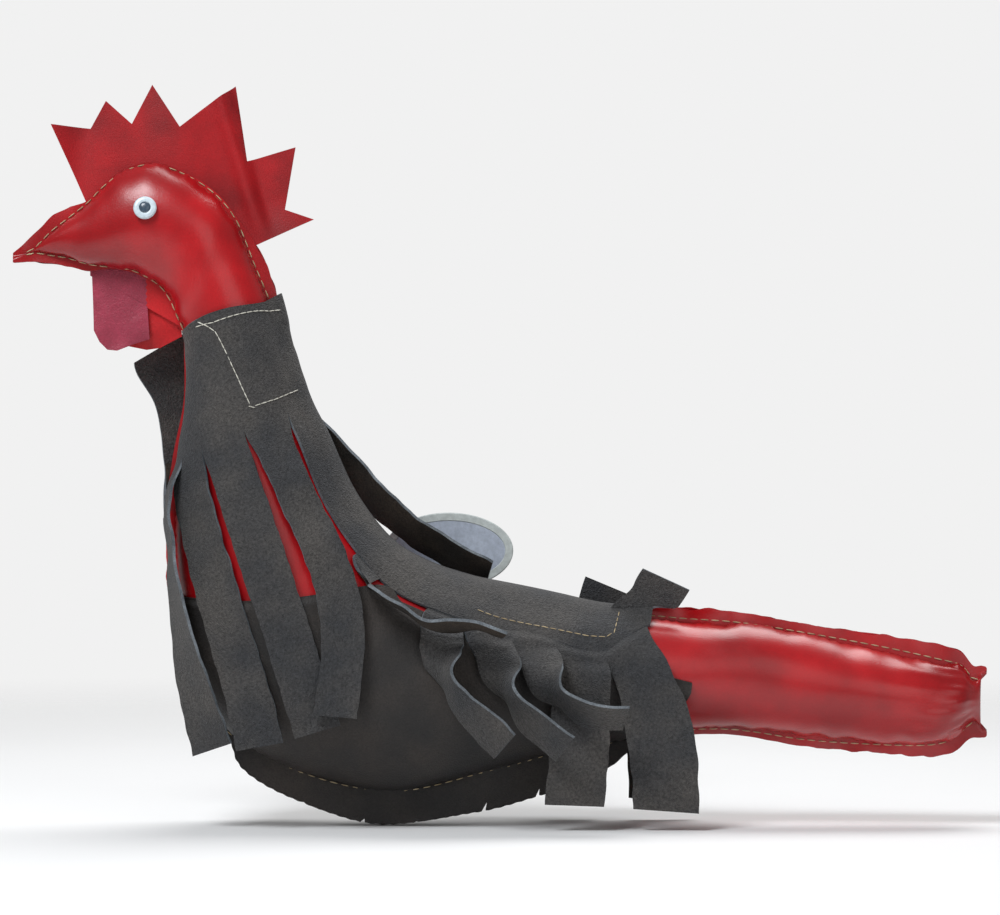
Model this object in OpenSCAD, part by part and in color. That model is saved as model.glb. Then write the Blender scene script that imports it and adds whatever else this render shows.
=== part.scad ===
// Stuffed leather rooster: two red side panels sewn together over a filling,
// a jagged comb and two wattles caught in the head seams, button eyes, a grey
// suede cape with hanging feather strips and a dark leather belly cover.
// X runs from the beak (-X) to the tail (+X), the bird's left side faces -Y
// and Z is up. The origin is below the middle of the bird, on the ground.

/* [Overall] */
// Length from the tip of the beak to the end of the tail
bird_length = 506; // [440:2:600]
// Height from the belly edge to the tallest comb spike
bird_height = 384; // [330:2:450]
// Width of the stuffed belly
body_width = 84; // [70:1:100]

/* [Leather] */
// Thickness of the red side panels
panel_t = 1.6; // [1.0:0.1:2.2]
// Thickness of the comb leaf
comb_t = 1.6; // [1.0:0.1:2.2]
// Thickness of each wattle leaf
wattle_t = 1.4; // [1.0:0.1:2.0]
// Thickness of the grey suede
suede_t = 1.6; // [1.0:0.1:2.0]
// Thickness of the belly cover
cover_t = 1.6; // [1.0:0.1:2.2]

/* [Seams] */
// Widest seam edge left outside the stitches of the red panels
seam_edge = 8; // [5:0.5:10]
// Widest edge of the belly cover below its stitches
belly_edge = 24; // [18:1:28]
// Depth of the comb and the wattle root below their stitches
tuck = 2; // [1:0.5:3]
// Diameter of the sewing thread
thread_d = 0.8; // [0.5:0.1:1.2]

/* [Fringe] */
// Width of the neck feather strips
neck_strip_w = 24; // [18:1:25]
// Width of the curling wing strips
wing_strip_w = 22; // [16:1:24]
// Width of the front strip at the root of the tail
flank_strip_w = 30; // [22:1:32]
// Width of the rear strip at the root of the tail
tail_strip_w = 34; // [26:1:36]
// Width of the two short strips on top of the tail
top_strip_w = 26; // [18:1:28]

/* [Eyes] */
// Diameter of the white eye disc
eye_d = 12; // [9:0.5:14]
// Diameter of the pupil
pupil_d = 6; // [4:0.5:8]
// Height of the eye disc over the leather
eye_h = 2.4; // [1.6:0.2:3.2]
// Diameter of the shank behind the eye
shank_d = 3; // [2:0.5:3.5]
// Diameter of the washer that locks the eye from inside
washer_d = 10; // [8:0.5:12]

/* [Tag] */
// Length of the oval tag
tag_l = 68; // [56:1:72]
// Height of the oval tag
tag_h = 40; // [34:1:44]
// Thickness of the oval tag
tag_t = 1.2; // [0.8:0.1:2.0]
// Width of the raised rim of the tag
tag_rim = 4; // [2:0.5:6]

/* [Fits] */
// Space between two layers that lie on each other
layer_gap = 0.4; // [0.3:0.1:0.8]
// Space between a hinged strip and the leather it grows from
root_gap = 1.2; // [1.0:0.1:2.0]

/* [Hidden] */
LENGTH_0 = 506;
HEIGHT_0 = 384;
WIDTH_0 = 84;
kx = bird_length / LENGTH_0;
ky = body_width / WIDTH_0;
kz = bird_height / HEIGHT_0;
red = [0.72, 0.06, 0.09];
red_dark = [0.60, 0.05, 0.10];
suede = [0.28, 0.28, 0.30];
brown = [0.18, 0.15, 0.13];
cream = [0.85, 0.78, 0.62];
wadding = [0.93, 0.92, 0.88];

// Stations along the bird, from the beak round to the tail. Each row holds the
// top seam point x and z, the bottom seam point x and z, the half width there,
// and the top and bottom seam edges as shares of seam_edge.
STATIONS = [
    [-253, 295, -253, 292.5, 3, 0.15, 0.15],
    [-243, 297.5, -243, 296.5, 4, 0.9, 0.6],
    [-233, 307, -233, 295.5, 9, 1.05, 0.6],
    [-224, 314, -224, 294, 12.5, 0.75, 0.6],
    [-214, 322, -214, 291, 16, 0.2, 0.5],
    [-205, 331, -203, 289.5, 19, 0.2, 0.2],
    [-193, 339, -192, 288, 22, 0.2, 0.2],
    [-179, 341.5, -183, 284, 24, 0.2, 0.2],
    [-163, 336, -176, 279, 24.5, 0.2, 0.2],
    [-148, 326, -171, 272, 24, 0.2, 0.2],
    [-137, 312, -167, 263, 23, 0.25, 0.2],
    [-128, 290, -163.5, 255, 22.5, 0.8, 0.2],
    [-119, 268, -162, 244, 22.5, 0.6, 0.3],
    [-112, 246, -162, 220, 24, 0.35, 0.35],
    [-104, 221, -166, 194, 28, 0.35, 0.5],
    [-94, 200, -168.5, 168, 32, 0.35, 0.65],
    [-80, 171, -168.5, 137, 36, 0.35, 0.65],
    [-62, 147, -166, 110, 39, 0.35, 0.65],
    [-44, 135, -156, 70, 41.5, 0.35, 0.65],
    [-22, 126.5, -120, 37.5, 42, 0.35, 0.65],
    [2, 120, -59, 20, 41, 0.35, 0.65],
    [30, 114, -3, 31, 37, 0.35, 0.65],
    [58, 109, 38, 42, 32, 0.35, 0.6],
    [92, 105.5, 85, 48.5, 28.5, 0.8, 0.5],
    [125, 103, 120, 50, 27.5, 0.8, 0.5],
    [163, 97, 160, 44.5, 27, 0.7, 0.6],
    [201, 90, 199, 42, 25.5, 0.9, 0.7],
    [226, 84.5, 224, 42, 23, 1.1, 0.9],
    [239, 81, 236, 45.5, 19, 1.0, 1.1],
    [246.5, 74, 245.5, 53, 11, 0.9, 1.1],
    [253, 79, 253, 47, 4, 0.6, 0.6]
];
LAST = len(STATIONS) - 1;
COMB_FROM = 4;
COMB_TO = 10.6;
WATTLE_FROM = 4.1;
WATTLE_TO = 11;
ring_step = 2 / 3;
arc_step = 15;

// ---- curves ----
function curve(p0, p1, p2, p3, t) =
    0.5 * (2 * p1 + (p2 - p0) * t + (2 * p0 - 5 * p1 + 4 * p2 - p3) * t * t
    + (3 * p1 - p0 - 3 * p2 + p3) * t * t * t);
function along(rows, s) =
    let (n = len(rows) - 1, i = max(0, min(floor(s), n - 1)))
    curve(rows[max(i - 1, 0)], rows[i], rows[i + 1], rows[min(i + 2, n)], s - i);
function blend(a, b, t) = a + (b - a) * max(0, min(1, t));
function unit(v) = v / norm(v);
function place(p) = [p[0] * kx, p[1] * ky, p[2] * kz];

// ---- the stuffed body ----
function top_seam(s) = let (r = along(STATIONS, s)) [r[0] * kx, 0, r[1] * kz];
function low_seam(s) = let (r = along(STATIONS, s)) [r[2] * kx, 0, r[3] * kz];
function half_width(s) = max(0, along(STATIONS, s)[4]) * ky;
function top_edge(s) = max(0, along(STATIONS, s)[5]) * seam_edge;
function low_edge(s) = max(0, along(STATIONS, s)[6]) * seam_edge;
// Half the space that the comb, above, or the wattles, below, take in the seam
function seam_space(s, half) = blend(half + layer_gap / 4, layer_gap / 4, s - WATTLE_TO - 0.5);
// Outward distance of the inner face of a panel before it bulges
function lean(s, a) =
    blend(seam_space(s, wattle_t + layer_gap / 4), seam_space(s, comb_t / 2), (1 + cos(a)) / 2);
function middle(s) = (top_seam(s) + low_seam(s)) / 2;
function reach(s) = norm(top_seam(s) - low_seam(s)) / 2;
function rise(s) = unit(top_seam(s) - low_seam(s));
// A point at angle a round station s: 0 is the top seam, 90 the left side and
// 180 the bottom seam; out is the distance outside the panel's outer face.
function skin(s, a, out) =
    let (lift = lean(s, a) + panel_t, bulge = max(0, half_width(s) - lift))
    middle(s) + rise(s) * (reach(s) + out) * cos(a)
    - [0, 1, 0] * (lift * min(1, abs(sin(a)) * 4) * sign(sin(a)) + (bulge + out) * sin(a));
// The same, for a panel: its seam edge stays flat at the middle of the bird
function panel_point(s, a, in) =
    let (lift = lean(s, a) + panel_t - in, full = lean(s, a) + panel_t)
    middle(s) + rise(s) * max(reach(s) - in, reach(s) * 0.6) * cos(a)
    - [0, 1, 0] * (lift + max(0, half_width(s) - full) * sin(a));
function panel_ring(s) =
    let (up = rise(s), top = top_seam(s), low = low_seam(s))
    let (y_top = lean(s, 0), y_low = lean(s, 180))
    concat(
        [top + up * top_edge(s) - [0, y_top + panel_t, 0]],
        [for (a = [0 : arc_step : 180]) panel_point(s, a, 0)],
        [low - up * low_edge(s) - [0, y_low + panel_t, 0]],
        [low - up * low_edge(s) - [0, y_low, 0]],
        [for (a = [180 : -arc_step : 0]) panel_point(s, a, panel_t)],
        [top + up * top_edge(s) - [0, y_top, 0]]);

// Joins closed rings of the same number of points into one solid
module loft(rings) {
    m = len(rings[0]);
    n = len(rings);
    sides = [for (i = [0 : n - 2], j = [0 : m - 1], half = [0, 1])
        let (a = i * m + j, b = i * m + (j + 1) % m)
        half == 0 ? [a, b + m, b] : [a, a + m, b + m]];
    first = [[for (j = [0 : m - 1]) j]];
    final = [[for (j = [m - 1 : -1 : 0]) (n - 1) * m + j]];
    polyhedron([for (ring = rings) each ring], concat(first, sides, final));
}

// The panel is a loft with one opening, a slit that the eye's shank goes through,
// between two rings and two angles, from the outer face to the inner face
SLIT_RING = 10;
SLIT_POINT = 6;
module panel() {
    rings = [for (s = [0 : ring_step : LAST]) panel_ring(s)];
    m = len(rings[0]);
    n = len(rings);
    inner = m - 1 - SLIT_POINT;
    sides = [for (i = [0 : n - 2], j = [0 : m - 1], half = [0, 1])
        let (a = i * m + j, b = i * m + (j + 1) % m)
        if (i != SLIT_RING || (j != SLIT_POINT && j != inner - 1))
            half == 0 ? [a, b + m, b] : [a, a + m, b + m]];
    at = SLIT_RING * m;
    outside = [at + SLIT_POINT, at + m + SLIT_POINT, at + m + SLIT_POINT + 1, at + SLIT_POINT + 1];
    inside = [at + inner, at + m + inner, at + m + inner - 1, at + inner - 1];
    walls = [for (k = [0 : 3], half = [0, 1])
        let (k2 = (k + 1) % 4)
        half == 0 ? [outside[k], outside[k2], inside[k2]] : [outside[k], inside[k2], inside[k]]];
    first = [[for (j = [0 : m - 1]) j]];
    final = [[for (j = [m - 1 : -1 : 0]) (n - 1) * m + j]];
    polyhedron([for (ring = rings) each ring], concat(first, sides, walls, final));
}

module left_body_panel() {
    color(red) panel();
}

module right_body_panel() {
    color(red) mirror([0, 1, 0]) panel();
}

// ---- filling ----
function wad_ring(s) =
    let (shrink = panel_t + layer_gap * 4, deep = max(panel_t, tuck) + layer_gap * 4)
    [for (a = [0 : 30 : 330])
        middle(s) + rise(s) * max(0.2, reach(s) - deep) * cos(a)
        - [0, 1, 0] * max(0.2, half_width(s) - shrink) * sin(a)];

module wad(from, to) {
    loft([for (s = [from : (to - from) / ceil((to - from) / 0.8) : to + 0.01]) wad_ring(s)]);
}

module head_filling() {
    color(wadding) difference() {
        wad(1.6, 11.4);
        for (side = [0, 1])
            mirror([0, side, 0]) eye_axis() cylinder(d = washer_d + 2, h = 20, center = true, $fn = 24);
    }
}

module body_filling() {
    color(wadding) wad(11.45, 21.4);
}

module tail_filling() {
    color(wadding) wad(21.45, 28.8);
}

// ---- eyes ----
EYE_S = 6.83;
EYE_A = 80;
// The disc's back stands this far off the curved head at the shank
eye_lift = layer_gap * 2.25;
module eye_axis() {
    at = skin(EYE_S, EYE_A, 0);
    translate(at) rotate([90 - 14, 0, 0]) children();
}

module eye_disc() {
    eye_axis() {
        translate([0, 0, eye_lift]) cylinder(d = eye_d, h = eye_h / 2, $fn = 48);
        translate([0, 0, eye_lift + eye_h / 2])
            cylinder(d1 = eye_d, d2 = eye_d - eye_h, h = eye_h / 2, $fn = 48);
        translate([0, 0, -6]) cylinder(d = shank_d, h = 6 + eye_lift, $fn = 24);
    }
}

module eye_pupil() {
    eye_axis() translate([0, 0, eye_lift + eye_h])
        cylinder(d1 = pupil_d, d2 = pupil_d * 0.7, h = 0.7, $fn = 36);
}

module eye_washer() {
    eye_axis() translate([0, 0, -panel_t - 3]) difference() {
        cylinder(d = washer_d, h = 1.4, center = true, $fn = 36);
        cylinder(d = shank_d + 0.1, h = 3, center = true, $fn = 24);
    }
}

module left_eye() { color("white") eye_disc(); }
module left_pupil() { color([0.2, 0.25, 0.32]) eye_pupil(); }
module left_eye_washer() { color("gainsboro") eye_washer(); }
module right_eye() { color("white") mirror([0, 1, 0]) eye_disc(); }
module right_pupil() { color([0.2, 0.25, 0.32]) mirror([0, 1, 0]) eye_pupil(); }
module right_eye_washer() { color("gainsboro") mirror([0, 1, 0]) eye_washer(); }

// ---- flat leaves between the panels ----
COMB = [
    [-225, 345], [-233, 363], [-213, 361], [-205, 375.5], [-191.5, 363.5], [-181, 384],
    [-166.5, 362], [-137.5, 383], [-131.5, 344], [-106.5, 351.5], [-112, 319], [-97, 314]
];
function flat(p) = [p[0], p[2]];

module leaf(points, thickness, y) {
    translate([0, y, 0]) rotate([90, 0, 0])
        linear_extrude(height = thickness, center = true) polygon(points);
}

module comb() {
    tips = [for (p = COMB) [p[0] * kx, p[1] * kz]];
    base = [for (s = [COMB_TO : -0.6 : COMB_FROM]) flat(top_seam(s) - rise(s) * tuck)];
    color(red) leaf(concat(tips, base), comb_t, 0);
}

// The wattle root fills the curve of the throat down to the line the lobes swing on
HANG_FRONT = [-213, 284.5];
HANG_BACK = [-165, 257.5];
LOBE_LEFT = [[-211.5, 272], [-211, 256], [-208, 250], [-204, 246], [-199, 245.5], [-190, 249], [-182, 251.5]];
LOBE_RIGHT = [[-205, 262], [-201, 252], [-194, 248], [-184, 246], [-177, 247], [-165.5, 253]];
function hang(t) = blend(HANG_FRONT, HANG_BACK, t);
function side_view(p) = [p[0] * kx, p[1] * kz];

module wattle_root() {
    seam = [for (s = [WATTLE_TO : -0.6 : WATTLE_FROM]) flat(low_seam(s) + rise(s) * tuck)];
    color(red_dark) leaf(concat(seam, [side_view(hang(0)), side_view(hang(1))]), wattle_t * 2, 0);
}

module lobe(points, from, to, y) {
    drop = [0, -root_gap];
    top = [side_view(hang(from)) + drop, side_view(hang(to)) + drop];
    color(red_dark) leaf(concat([for (p = points) side_view(p)], [top[1], top[0]]), wattle_t, y);
}

module left_wattle() {
    lobe(LOBE_LEFT, 0.02, 0.62, -(wattle_t + layer_gap) / 2);
}

module right_wattle() {
    lobe(LOBE_RIGHT, 0.16, 0.98, (wattle_t + layer_gap) / 2);
}

// ---- belly cover ----
// Each row: station, angle of the top edge, angle of the lower edge, and the
// share of belly_edge that hangs below the stitches.
COVER = [
    [16.7, 168, 180, 0.01], [17, 133, 180, 0.01], [18, 67, 180, 0.02], [18.6, 60, 180, 0.1],
    [19, 55, 180, 0.52], [20, 64, 180, 0.803], [21, 75, 180, 1], [22, 88, 180, 0.93],
    [22.7, 92, 172, 0.01], [23.3, 96, 106, 0.01]
];
// A point outside the left panel that stays clear of the seam edge below
function cover_point(s, a, out) =
    let (lift = lean(s, a) + panel_t)
    middle(s) + rise(s) * (reach(s) + out) * cos(a)
    - [0, 1, 0] * (lift + out + max(0, half_width(s) - lift) * sin(a));
function cover_ring(k) =
    let (row = along(COVER, k), s = row[0], gap = layer_gap * 2.2, far = layer_gap * 2.2 + cover_t)
    let (drop = rise(s) * (0.4 + (row[2] > 179 ? max(0, row[3]) * belly_edge : 0)))
    let (angles = [for (i = [0 : 9]) blend(row[1], min(180, row[2]), i / 9)])
    concat(
        [for (a = angles) cover_point(s, a, far)],
        [cover_point(s, angles[9], far) - drop],
        [cover_point(s, angles[9], gap) - drop],
        [for (i = [9 : -1 : 0]) cover_point(s, angles[i], gap)]);

module cover() {
    loft([for (k = [0 : 0.25 : len(COVER) - 1]) cover_ring(k)]);
}

module left_belly_cover() { color(brown) cover(); }
module right_belly_cover() { color(brown) mirror([0, 1, 0]) cover(); }

// ---- cape: the neck collar, the strap down the back and the saddle ----
// Each collar row: station and length of the loose flap past the right side
COLLAR = [[11.85, 47], [12.4, 46], [13, 39], [13.6, 35], [14.15, 33]];
NEAR_END = 165;
FLAP_FROM = 110;
// Each strap row: station, left edge angle and right edge angle
STRAP = [
    [14.15, 44, 16], [15, 43, 15], [16, 42, 15], [17, 43, 15], [17.8, 45, 26], [18.5, 47, 46],
    [19.3, 48, 48], [20, 50, 50], [20.8, 52, 52], [21.4, 60, 60], [22, 65, 65], [22.3, 50, 50],
    [22.6, 32, 32]
];
// The cape tents over the seam edge that stands up along the back
function tent(s, a) = (top_edge(s) + layer_gap) * max(0, min(1, 1.5 - abs(a) / 20));
function cape_point(s, a, out) = skin(s, a, layer_gap * 2 + tent(s, a) + out);
function flap_point(s, along_flap, out) =
    cape_point(s, -FLAP_FROM, out) - rise(s) * along_flap - [0, along_flap * 0.08, 0];
function collar_side(row, out) = concat(
    [for (i = [0 : 7]) cape_point(row[0], blend(NEAR_END, 44, i / 8), out)],
    [for (i = [0 : 8]) cape_point(row[0], blend(44, -16, i / 8), out)],
    [for (i = [1 : 6]) cape_point(row[0], blend(-16, -FLAP_FROM, i / 6), out)],
    [flap_point(row[0], row[1] / 2, out), flap_point(row[0], row[1], out)]);
function strap_side(row, out) =
    [for (i = [0 : 8]) cape_point(row[0], blend(row[1], -row[2], i / 8), out)];

// The cape is a grid of small patches with an outer and an inner layer. Collar
// rows hold COLLAR_POINTS points; strap rows only hold the middle ones of them.
COLLAR_POINTS = 25;
STRAP_POINTS = 9;
STRAP_START = 8;
neck_rows = [for (k = [0 : 0.5 : len(COLLAR) - 1]) along(COLLAR, k)];
back_rows = [for (k = [0.5 : 0.5 : len(STRAP) - 1]) along(STRAP, k)];
NECK_N = len(neck_rows);
BACK_N = len(back_rows);
LAYER_N = NECK_N * COLLAR_POINTS + BACK_N * STRAP_POINTS;
function layer(out) = concat(
    [for (r = neck_rows) each collar_side(r, out)],
    [for (r = back_rows) each strap_side(r, out)]);
function spot(i, j, inner) =
    (inner ? LAYER_N : 0)
    + (i < NECK_N ? i * COLLAR_POINTS + j
        : NECK_N * COLLAR_POINTS + (i - NECK_N) * STRAP_POINTS + j - STRAP_START);
function patch(i, j) =
    i >= 0 && j >= 0 && i < NECK_N + BACK_N - 1
    && (i < NECK_N - 1 ? j < COLLAR_POINTS - 1
        : j >= STRAP_START && j < STRAP_START + STRAP_POINTS - 1);
function patch_faces(i, j) =
    let (a = spot(i, j, false), b = spot(i, j + 1, false))
    let (c = spot(i + 1, j + 1, false), d = spot(i + 1, j, false), n = LAYER_N)
    let (rim = [if (!patch(i - 1, j)) [a, b], if (!patch(i, j + 1)) [b, c],
        if (!patch(i + 1, j)) [c, d], if (!patch(i, j - 1)) [d, a]])
    concat(
        [[b, d, a], [b, c, d], [b + n, a + n, d + n], [b + n, d + n, c + n]],
        [for (e = rim) each [[e[1], e[0], e[0] + n], [e[1], e[0] + n, e[1] + n]]]);

module cape() {
    faces = [for (i = [0 : NECK_N + BACK_N - 2], j = [0 : COLLAR_POINTS - 2])
        if (patch(i, j)) each patch_faces(i, j)];
    color(suede) polyhedron(concat(layer(suede_t), layer(0)), faces);
}

// ---- feather strips ----
// A strip is a band of suede along a path. Each row holds the middle of the
// band (x, outward distance, z), the way its width points, and a width share.
function band_ring(path, width, k) =
    let (row = along(path, k), ahead = along(path, k + 0.04), behind = along(path, k - 0.04))
    let (go = unit(place([for (i = [0 : 2]) ahead[i] - behind[i]])))
    let (wide = [row[3], row[4], row[5]], across = unit(wide - go * (wide * go)))
    let (face = cross(go, across) * suede_t / 2, half = across * width * row[6] / 2, mid = place(row))
    [mid + half + face, mid - half + face, mid - half - face, mid + half - face];

module band(path, width) {
    last = len(path) - 1;
    step = 0.5;
    rings = [for (k = [0 : step : last]) band_ring(path, width, k)];
    color(suede) mirror([0, 1, 0]) loft(rings);
}

// Paths of the left side; the outward distance is towards -Y
CHEST_L = [
    [-170.5, 17, 185, 0.2, 1, 0, 1], [-171, 19, 160, 0.2, 1, 0, 1], [-168, 24, 128, 0.3, 1, 0, 1],
    [-162.5, 28, 95, 0.5, 0.85, 0, 1], [-155, 31, 66, 0.75, 0.65, 0.1, 1],
    [-147.5, 31, 40, 0.85, 0.5, 0.15, 1]
];
NECK_1_L = [
    [-161, 20.5, 187, 0.7, 0.65, 0.3, 1], [-158, 27, 169, 0.75, 0.6, 0.2, 1],
    [-152, 32.5, 145, 0.8, 0.5, 0.2, 1], [-145, 37, 121, 0.85, 0.4, 0.2, 1],
    [-136.5, 39.5, 93, 0.9, 0.3, 0.2, 1], [-128, 40.5, 65, 0.95, 0.2, 0.2, 1],
    [-123, 40.5, 42, 0.95, 0.1, 0.3, 1]
];
NECK_2_L = [
    [-141, 31, 196, 0.9, 0.1, 0.35, 1], [-134, 35.5, 175, 0.95, 0.1, 0.3, 1],
    [-126, 40, 152, 0.95, 0.1, 0.3, 1], [-117, 44, 125, 0.95, 0.05, 0.3, 1],
    [-109, 46, 102, 0.95, 0, 0.3, 1], [-101.5, 46.5, 77, 0.95, 0, 0.3, 1],
    [-93, 46.5, 50, 0.92, 0, 0.38, 1]
];
NECK_3_L = [
    [-118, 29, 204, 0.8, -0.45, 0.35, 1], [-111, 32, 190, 0.8, -0.45, 0.35, 1],
    [-101, 36, 170, 0.85, -0.4, 0.3, 1], [-90, 41.5, 147, 0.9, -0.3, 0.3, 1],
    [-82, 46.5, 121, 0.95, -0.15, 0.15, 1], [-80, 50, 93, 1, 0, 0, 1],
    [-84, 52, 58, 0.96, 0, 0.27, 1]
];
SIDE_L = [
    [-69, 49, 127, 0.1, 1, 0, 1], [-60, 50, 120, 0.1, 1, 0, 1], [-50, 53, 112.5, 0, 1, 0.1, 1],
    [-38, 56.5, 105, 0, 1, 0.2, 0.95], [-24, 57.5, 103.5, 0, 1, 0.3, 0.92],
    [-11, 57.5, 103.5, 0, 1, 0.2, 0.92], [2, 57.5, 99.5, 0.1, 1, 0.1, 0.92]
];
WING_1_L = [
    [-28, 36.2, 107, 0.95, 0, -0.35, 1], [-29.5, 44, 98, 0.95, 0.1, -0.2, 1],
    [-29.5, 51, 89, 0.8, 0.5, 0, 1], [-27.5, 56, 77, 0.3, 1, 0.2, 1],
    [-19, 58, 64, 0.4, 0.8, 0.45, 1], [-8, 60, 53, 0.5, 0.7, 0.5, 1], [2, 61, 43, 0.5, 0.7, 0.5, 1]
];
WING_2_L = [
    [-5, 35.2, 99.5, 0.95, 0, -0.3, 0.92], [-2.5, 42.5, 91, 0.95, 0.1, -0.1, 0.96],
    [0.5, 49.5, 82, 0.85, 0.4, 0, 1], [4, 55, 70.5, 0.3, 0.95, 0.1, 1],
    [13, 57.5, 57.5, 0.4, 0.8, 0.4, 1], [24, 59, 48.5, 0.45, 0.75, 0.5, 1],
    [33, 60, 42, 0.5, 0.7, 0.5, 1]
];
WING_3_L = [
    [18, 34.7, 94.2, 0.95, 0, -0.25, 0.85], [21, 42, 87, 0.95, 0.1, -0.1, 0.92],
    [23.5, 48.5, 78.5, 0.85, 0.4, 0, 1], [31, 54, 68.5, 0.4, 0.9, 0.1, 1],
    [42, 57.5, 61, 0.3, 0.85, 0.45, 1], [54, 59, 58.5, 0.25, 0.8, 0.55, 1],
    [64, 59, 58, 0.2, 0.8, 0.55, 1]
];
FLANK_L = [
    [42, 34.4, 89.5, 1, 0, -0.2, 0.9], [42, 38.7, 80, 1, 0, -0.1, 1], [41.5, 40, 68, 1, 0, 0, 1],
    [41, 40.8, 45, 1, 0, 0.05, 1], [38, 41, 12, 1, 0, 0.1, 1]
];
TAIL_L = [
    [68, 30.5, 91, 0.72, -0.28, 0.62, 0.72], [74, 35.5, 76, 0.85, -0.05, 0.5, 0.85],
    [80, 38, 57, 0.95, 0, 0.25, 1], [84, 39, 34, 1, 0, 0, 1], [85, 39, 9, 1, 0, 0.05, 1]
];
TOP_L = [
    [79, 9.5, 114, 0.94, 0, -0.33, 0.9], [82, 10.5, 120.5, 0.94, 0, -0.33, 1],
    [86, 12, 127, 0.94, 0, -0.33, 1]
];
// Paths of the right side; the outward distance is towards +Y
CHEST_R = [
    [-173.5, 16, 184, 0.2, 1, 0, 0.6], [-173, 17, 160, 0.2, 1, 0, 0.65],
    [-170, 22.5, 128, 0.3, 1, 0, 0.75], [-163, 27, 98, 0.5, 0.85, 0, 0.85],
    [-160.5, 28, 76, 0.5, 0.85, 0, 0.85]
];
NECK_1_R = [
    [-162.5, 30, 187, 0.9, 0.1, 0.4, 0.74], [-162, 31, 172, 0.95, 0.15, 0.2, 0.84],
    [-157, 33.5, 146, 0.9, 0.3, 0.2, 0.95], [-150.5, 38, 120, 0.9, 0.3, 0.2, 0.95],
    [-143.5, 40.5, 94, 0.95, 0.2, 0.2, 1], [-138, 41, 66, 0.95, 0.1, 0.2, 1],
    [-134, 41, 42, 0.95, 0.1, 0.3, 1]
];
NECK_2_R = [
    [-143, 32, 193.5, 0.9, 0, 0.4, 0.75], [-138.5, 35.5, 175, 0.95, 0.1, 0.3, 0.82],
    [-131, 39.5, 150, 0.95, 0.1, 0.3, 0.95], [-124, 43.5, 122, 0.95, 0.05, 0.3, 1],
    [-117, 45.5, 95, 0.95, 0, 0.2, 1], [-112, 46, 68, 0.95, 0, 0.2, 1],
    [-108, 46, 44, 0.95, 0, 0.3, 1]
];
NECK_3_R = [
    [-122.5, 31, 202, 0.85, -0.25, 0.4, 0.85], [-115.5, 35, 183, 0.9, -0.2, 0.35, 0.9],
    [-107, 39, 158, 0.95, -0.15, 0.3, 1], [-97.5, 43.5, 130, 0.95, -0.1, 0.2, 1],
    [-91, 46, 102, 0.98, 0, 0.1, 1], [-86, 47.5, 68, 1, 0, 0.1, 1]
];
SIDE_R = [
    [-103, 20.5, 207, 0.6, -0.6, 0.5, 0.9], [-94, 20, 199, 0.5, -0.75, 0.45, 1],
    [-80, 17, 185, 0.41, -0.8, 0.43, 1], [-65, 14, 168, 0.41, -0.8, 0.43, 1],
    [-49, 13, 154, 0.41, -0.8, 0.43, 1], [-31, 12.5, 141.5, 0.41, -0.8, 0.43, 1],
    [-6, 12, 128, 0.35, -0.8, 0.5, 1]
];
TOP_R = [
    [51, 23, 107, 0.95, 0, -0.2, 0.9], [53, 22, 115, 0.95, 0, -0.2, 0.9],
    [56, 22, 123, 0.95, 0, -0.2, 0.9]
];

module left_chest_strip() { band(CHEST_L, neck_strip_w); }
module left_neck_strip_1() { band(NECK_1_L, neck_strip_w); }
module left_neck_strip_2() { band(NECK_2_L, neck_strip_w); }
module left_neck_strip_3() { band(NECK_3_L, neck_strip_w); }
module left_side_strip() { band(SIDE_L, neck_strip_w); }
module left_wing_strip_1() { band(WING_1_L, wing_strip_w); }
module left_wing_strip_2() { band(WING_2_L, wing_strip_w); }
module left_wing_strip_3() { band(WING_3_L, wing_strip_w); }
module left_flank_strip() { band(FLANK_L, flank_strip_w); }
module left_tail_strip() { band(TAIL_L, tail_strip_w); }
module left_top_strip() { band(TOP_L, top_strip_w); }
module right_chest_strip() { mirror([0, 1, 0]) band(CHEST_R, neck_strip_w); }
module right_neck_strip_1() { mirror([0, 1, 0]) band(NECK_1_R, neck_strip_w); }
module right_neck_strip_2() { mirror([0, 1, 0]) band(NECK_2_R, neck_strip_w); }
module right_neck_strip_3() { mirror([0, 1, 0]) band(NECK_3_R, neck_strip_w); }
module right_side_strip() { mirror([0, 1, 0]) band(SIDE_R, neck_strip_w); }
module right_wing_strip_1() { mirror([0, 1, 0]) band(WING_1_L, wing_strip_w); }
module right_wing_strip_2() { mirror([0, 1, 0]) band(WING_2_L, wing_strip_w); }
module right_wing_strip_3() { mirror([0, 1, 0]) band(WING_3_L, wing_strip_w); }
module right_flank_strip() { mirror([0, 1, 0]) band(FLANK_L, flank_strip_w); }
module right_tail_strip() { mirror([0, 1, 0]) band(TAIL_L, tail_strip_w); }
module right_top_strip() { mirror([0, 1, 0]) band(TOP_R, top_strip_w); }

// ---- oval tag behind the back ----
TAG_MIDDLE = [-27, 31.5, 141];

module tag() {
    color([0.75, 0.80, 0.92]) translate(place(TAG_MIDDLE)) rotate([90, 0, 0]) {
        linear_extrude(height = tag_t, center = true)
            scale([tag_l / tag_h, 1]) circle(d = tag_h, $fn = 72);
        for (side = [-1, 1])
            translate([0, 0, side * (tag_t / 2 + 0.2)])
                linear_extrude(height = 0.4, center = true) difference() {
                    scale([tag_l / tag_h, 1]) circle(d = tag_h, $fn = 72);
                    scale([(tag_l - 2 * tag_rim) / (tag_h - 2 * tag_rim), 1])
                        circle(d = tag_h - 2 * tag_rim, $fn = 72);
                }
    }
}

// ---- sewing threads, laid along their stitches ----
function tube_ring(points, i) =
    let (n = len(points) - 1, go = unit(points[min(i + 1, n)] - points[max(i - 1, 0)]))
    let (side = unit(cross(go, [0.1, 1, 0.2])), up = cross(go, side))
    [for (a = [45 : 90 : 315]) points[i] + (side * cos(a) + up * sin(a)) * thread_d / 2];

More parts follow.
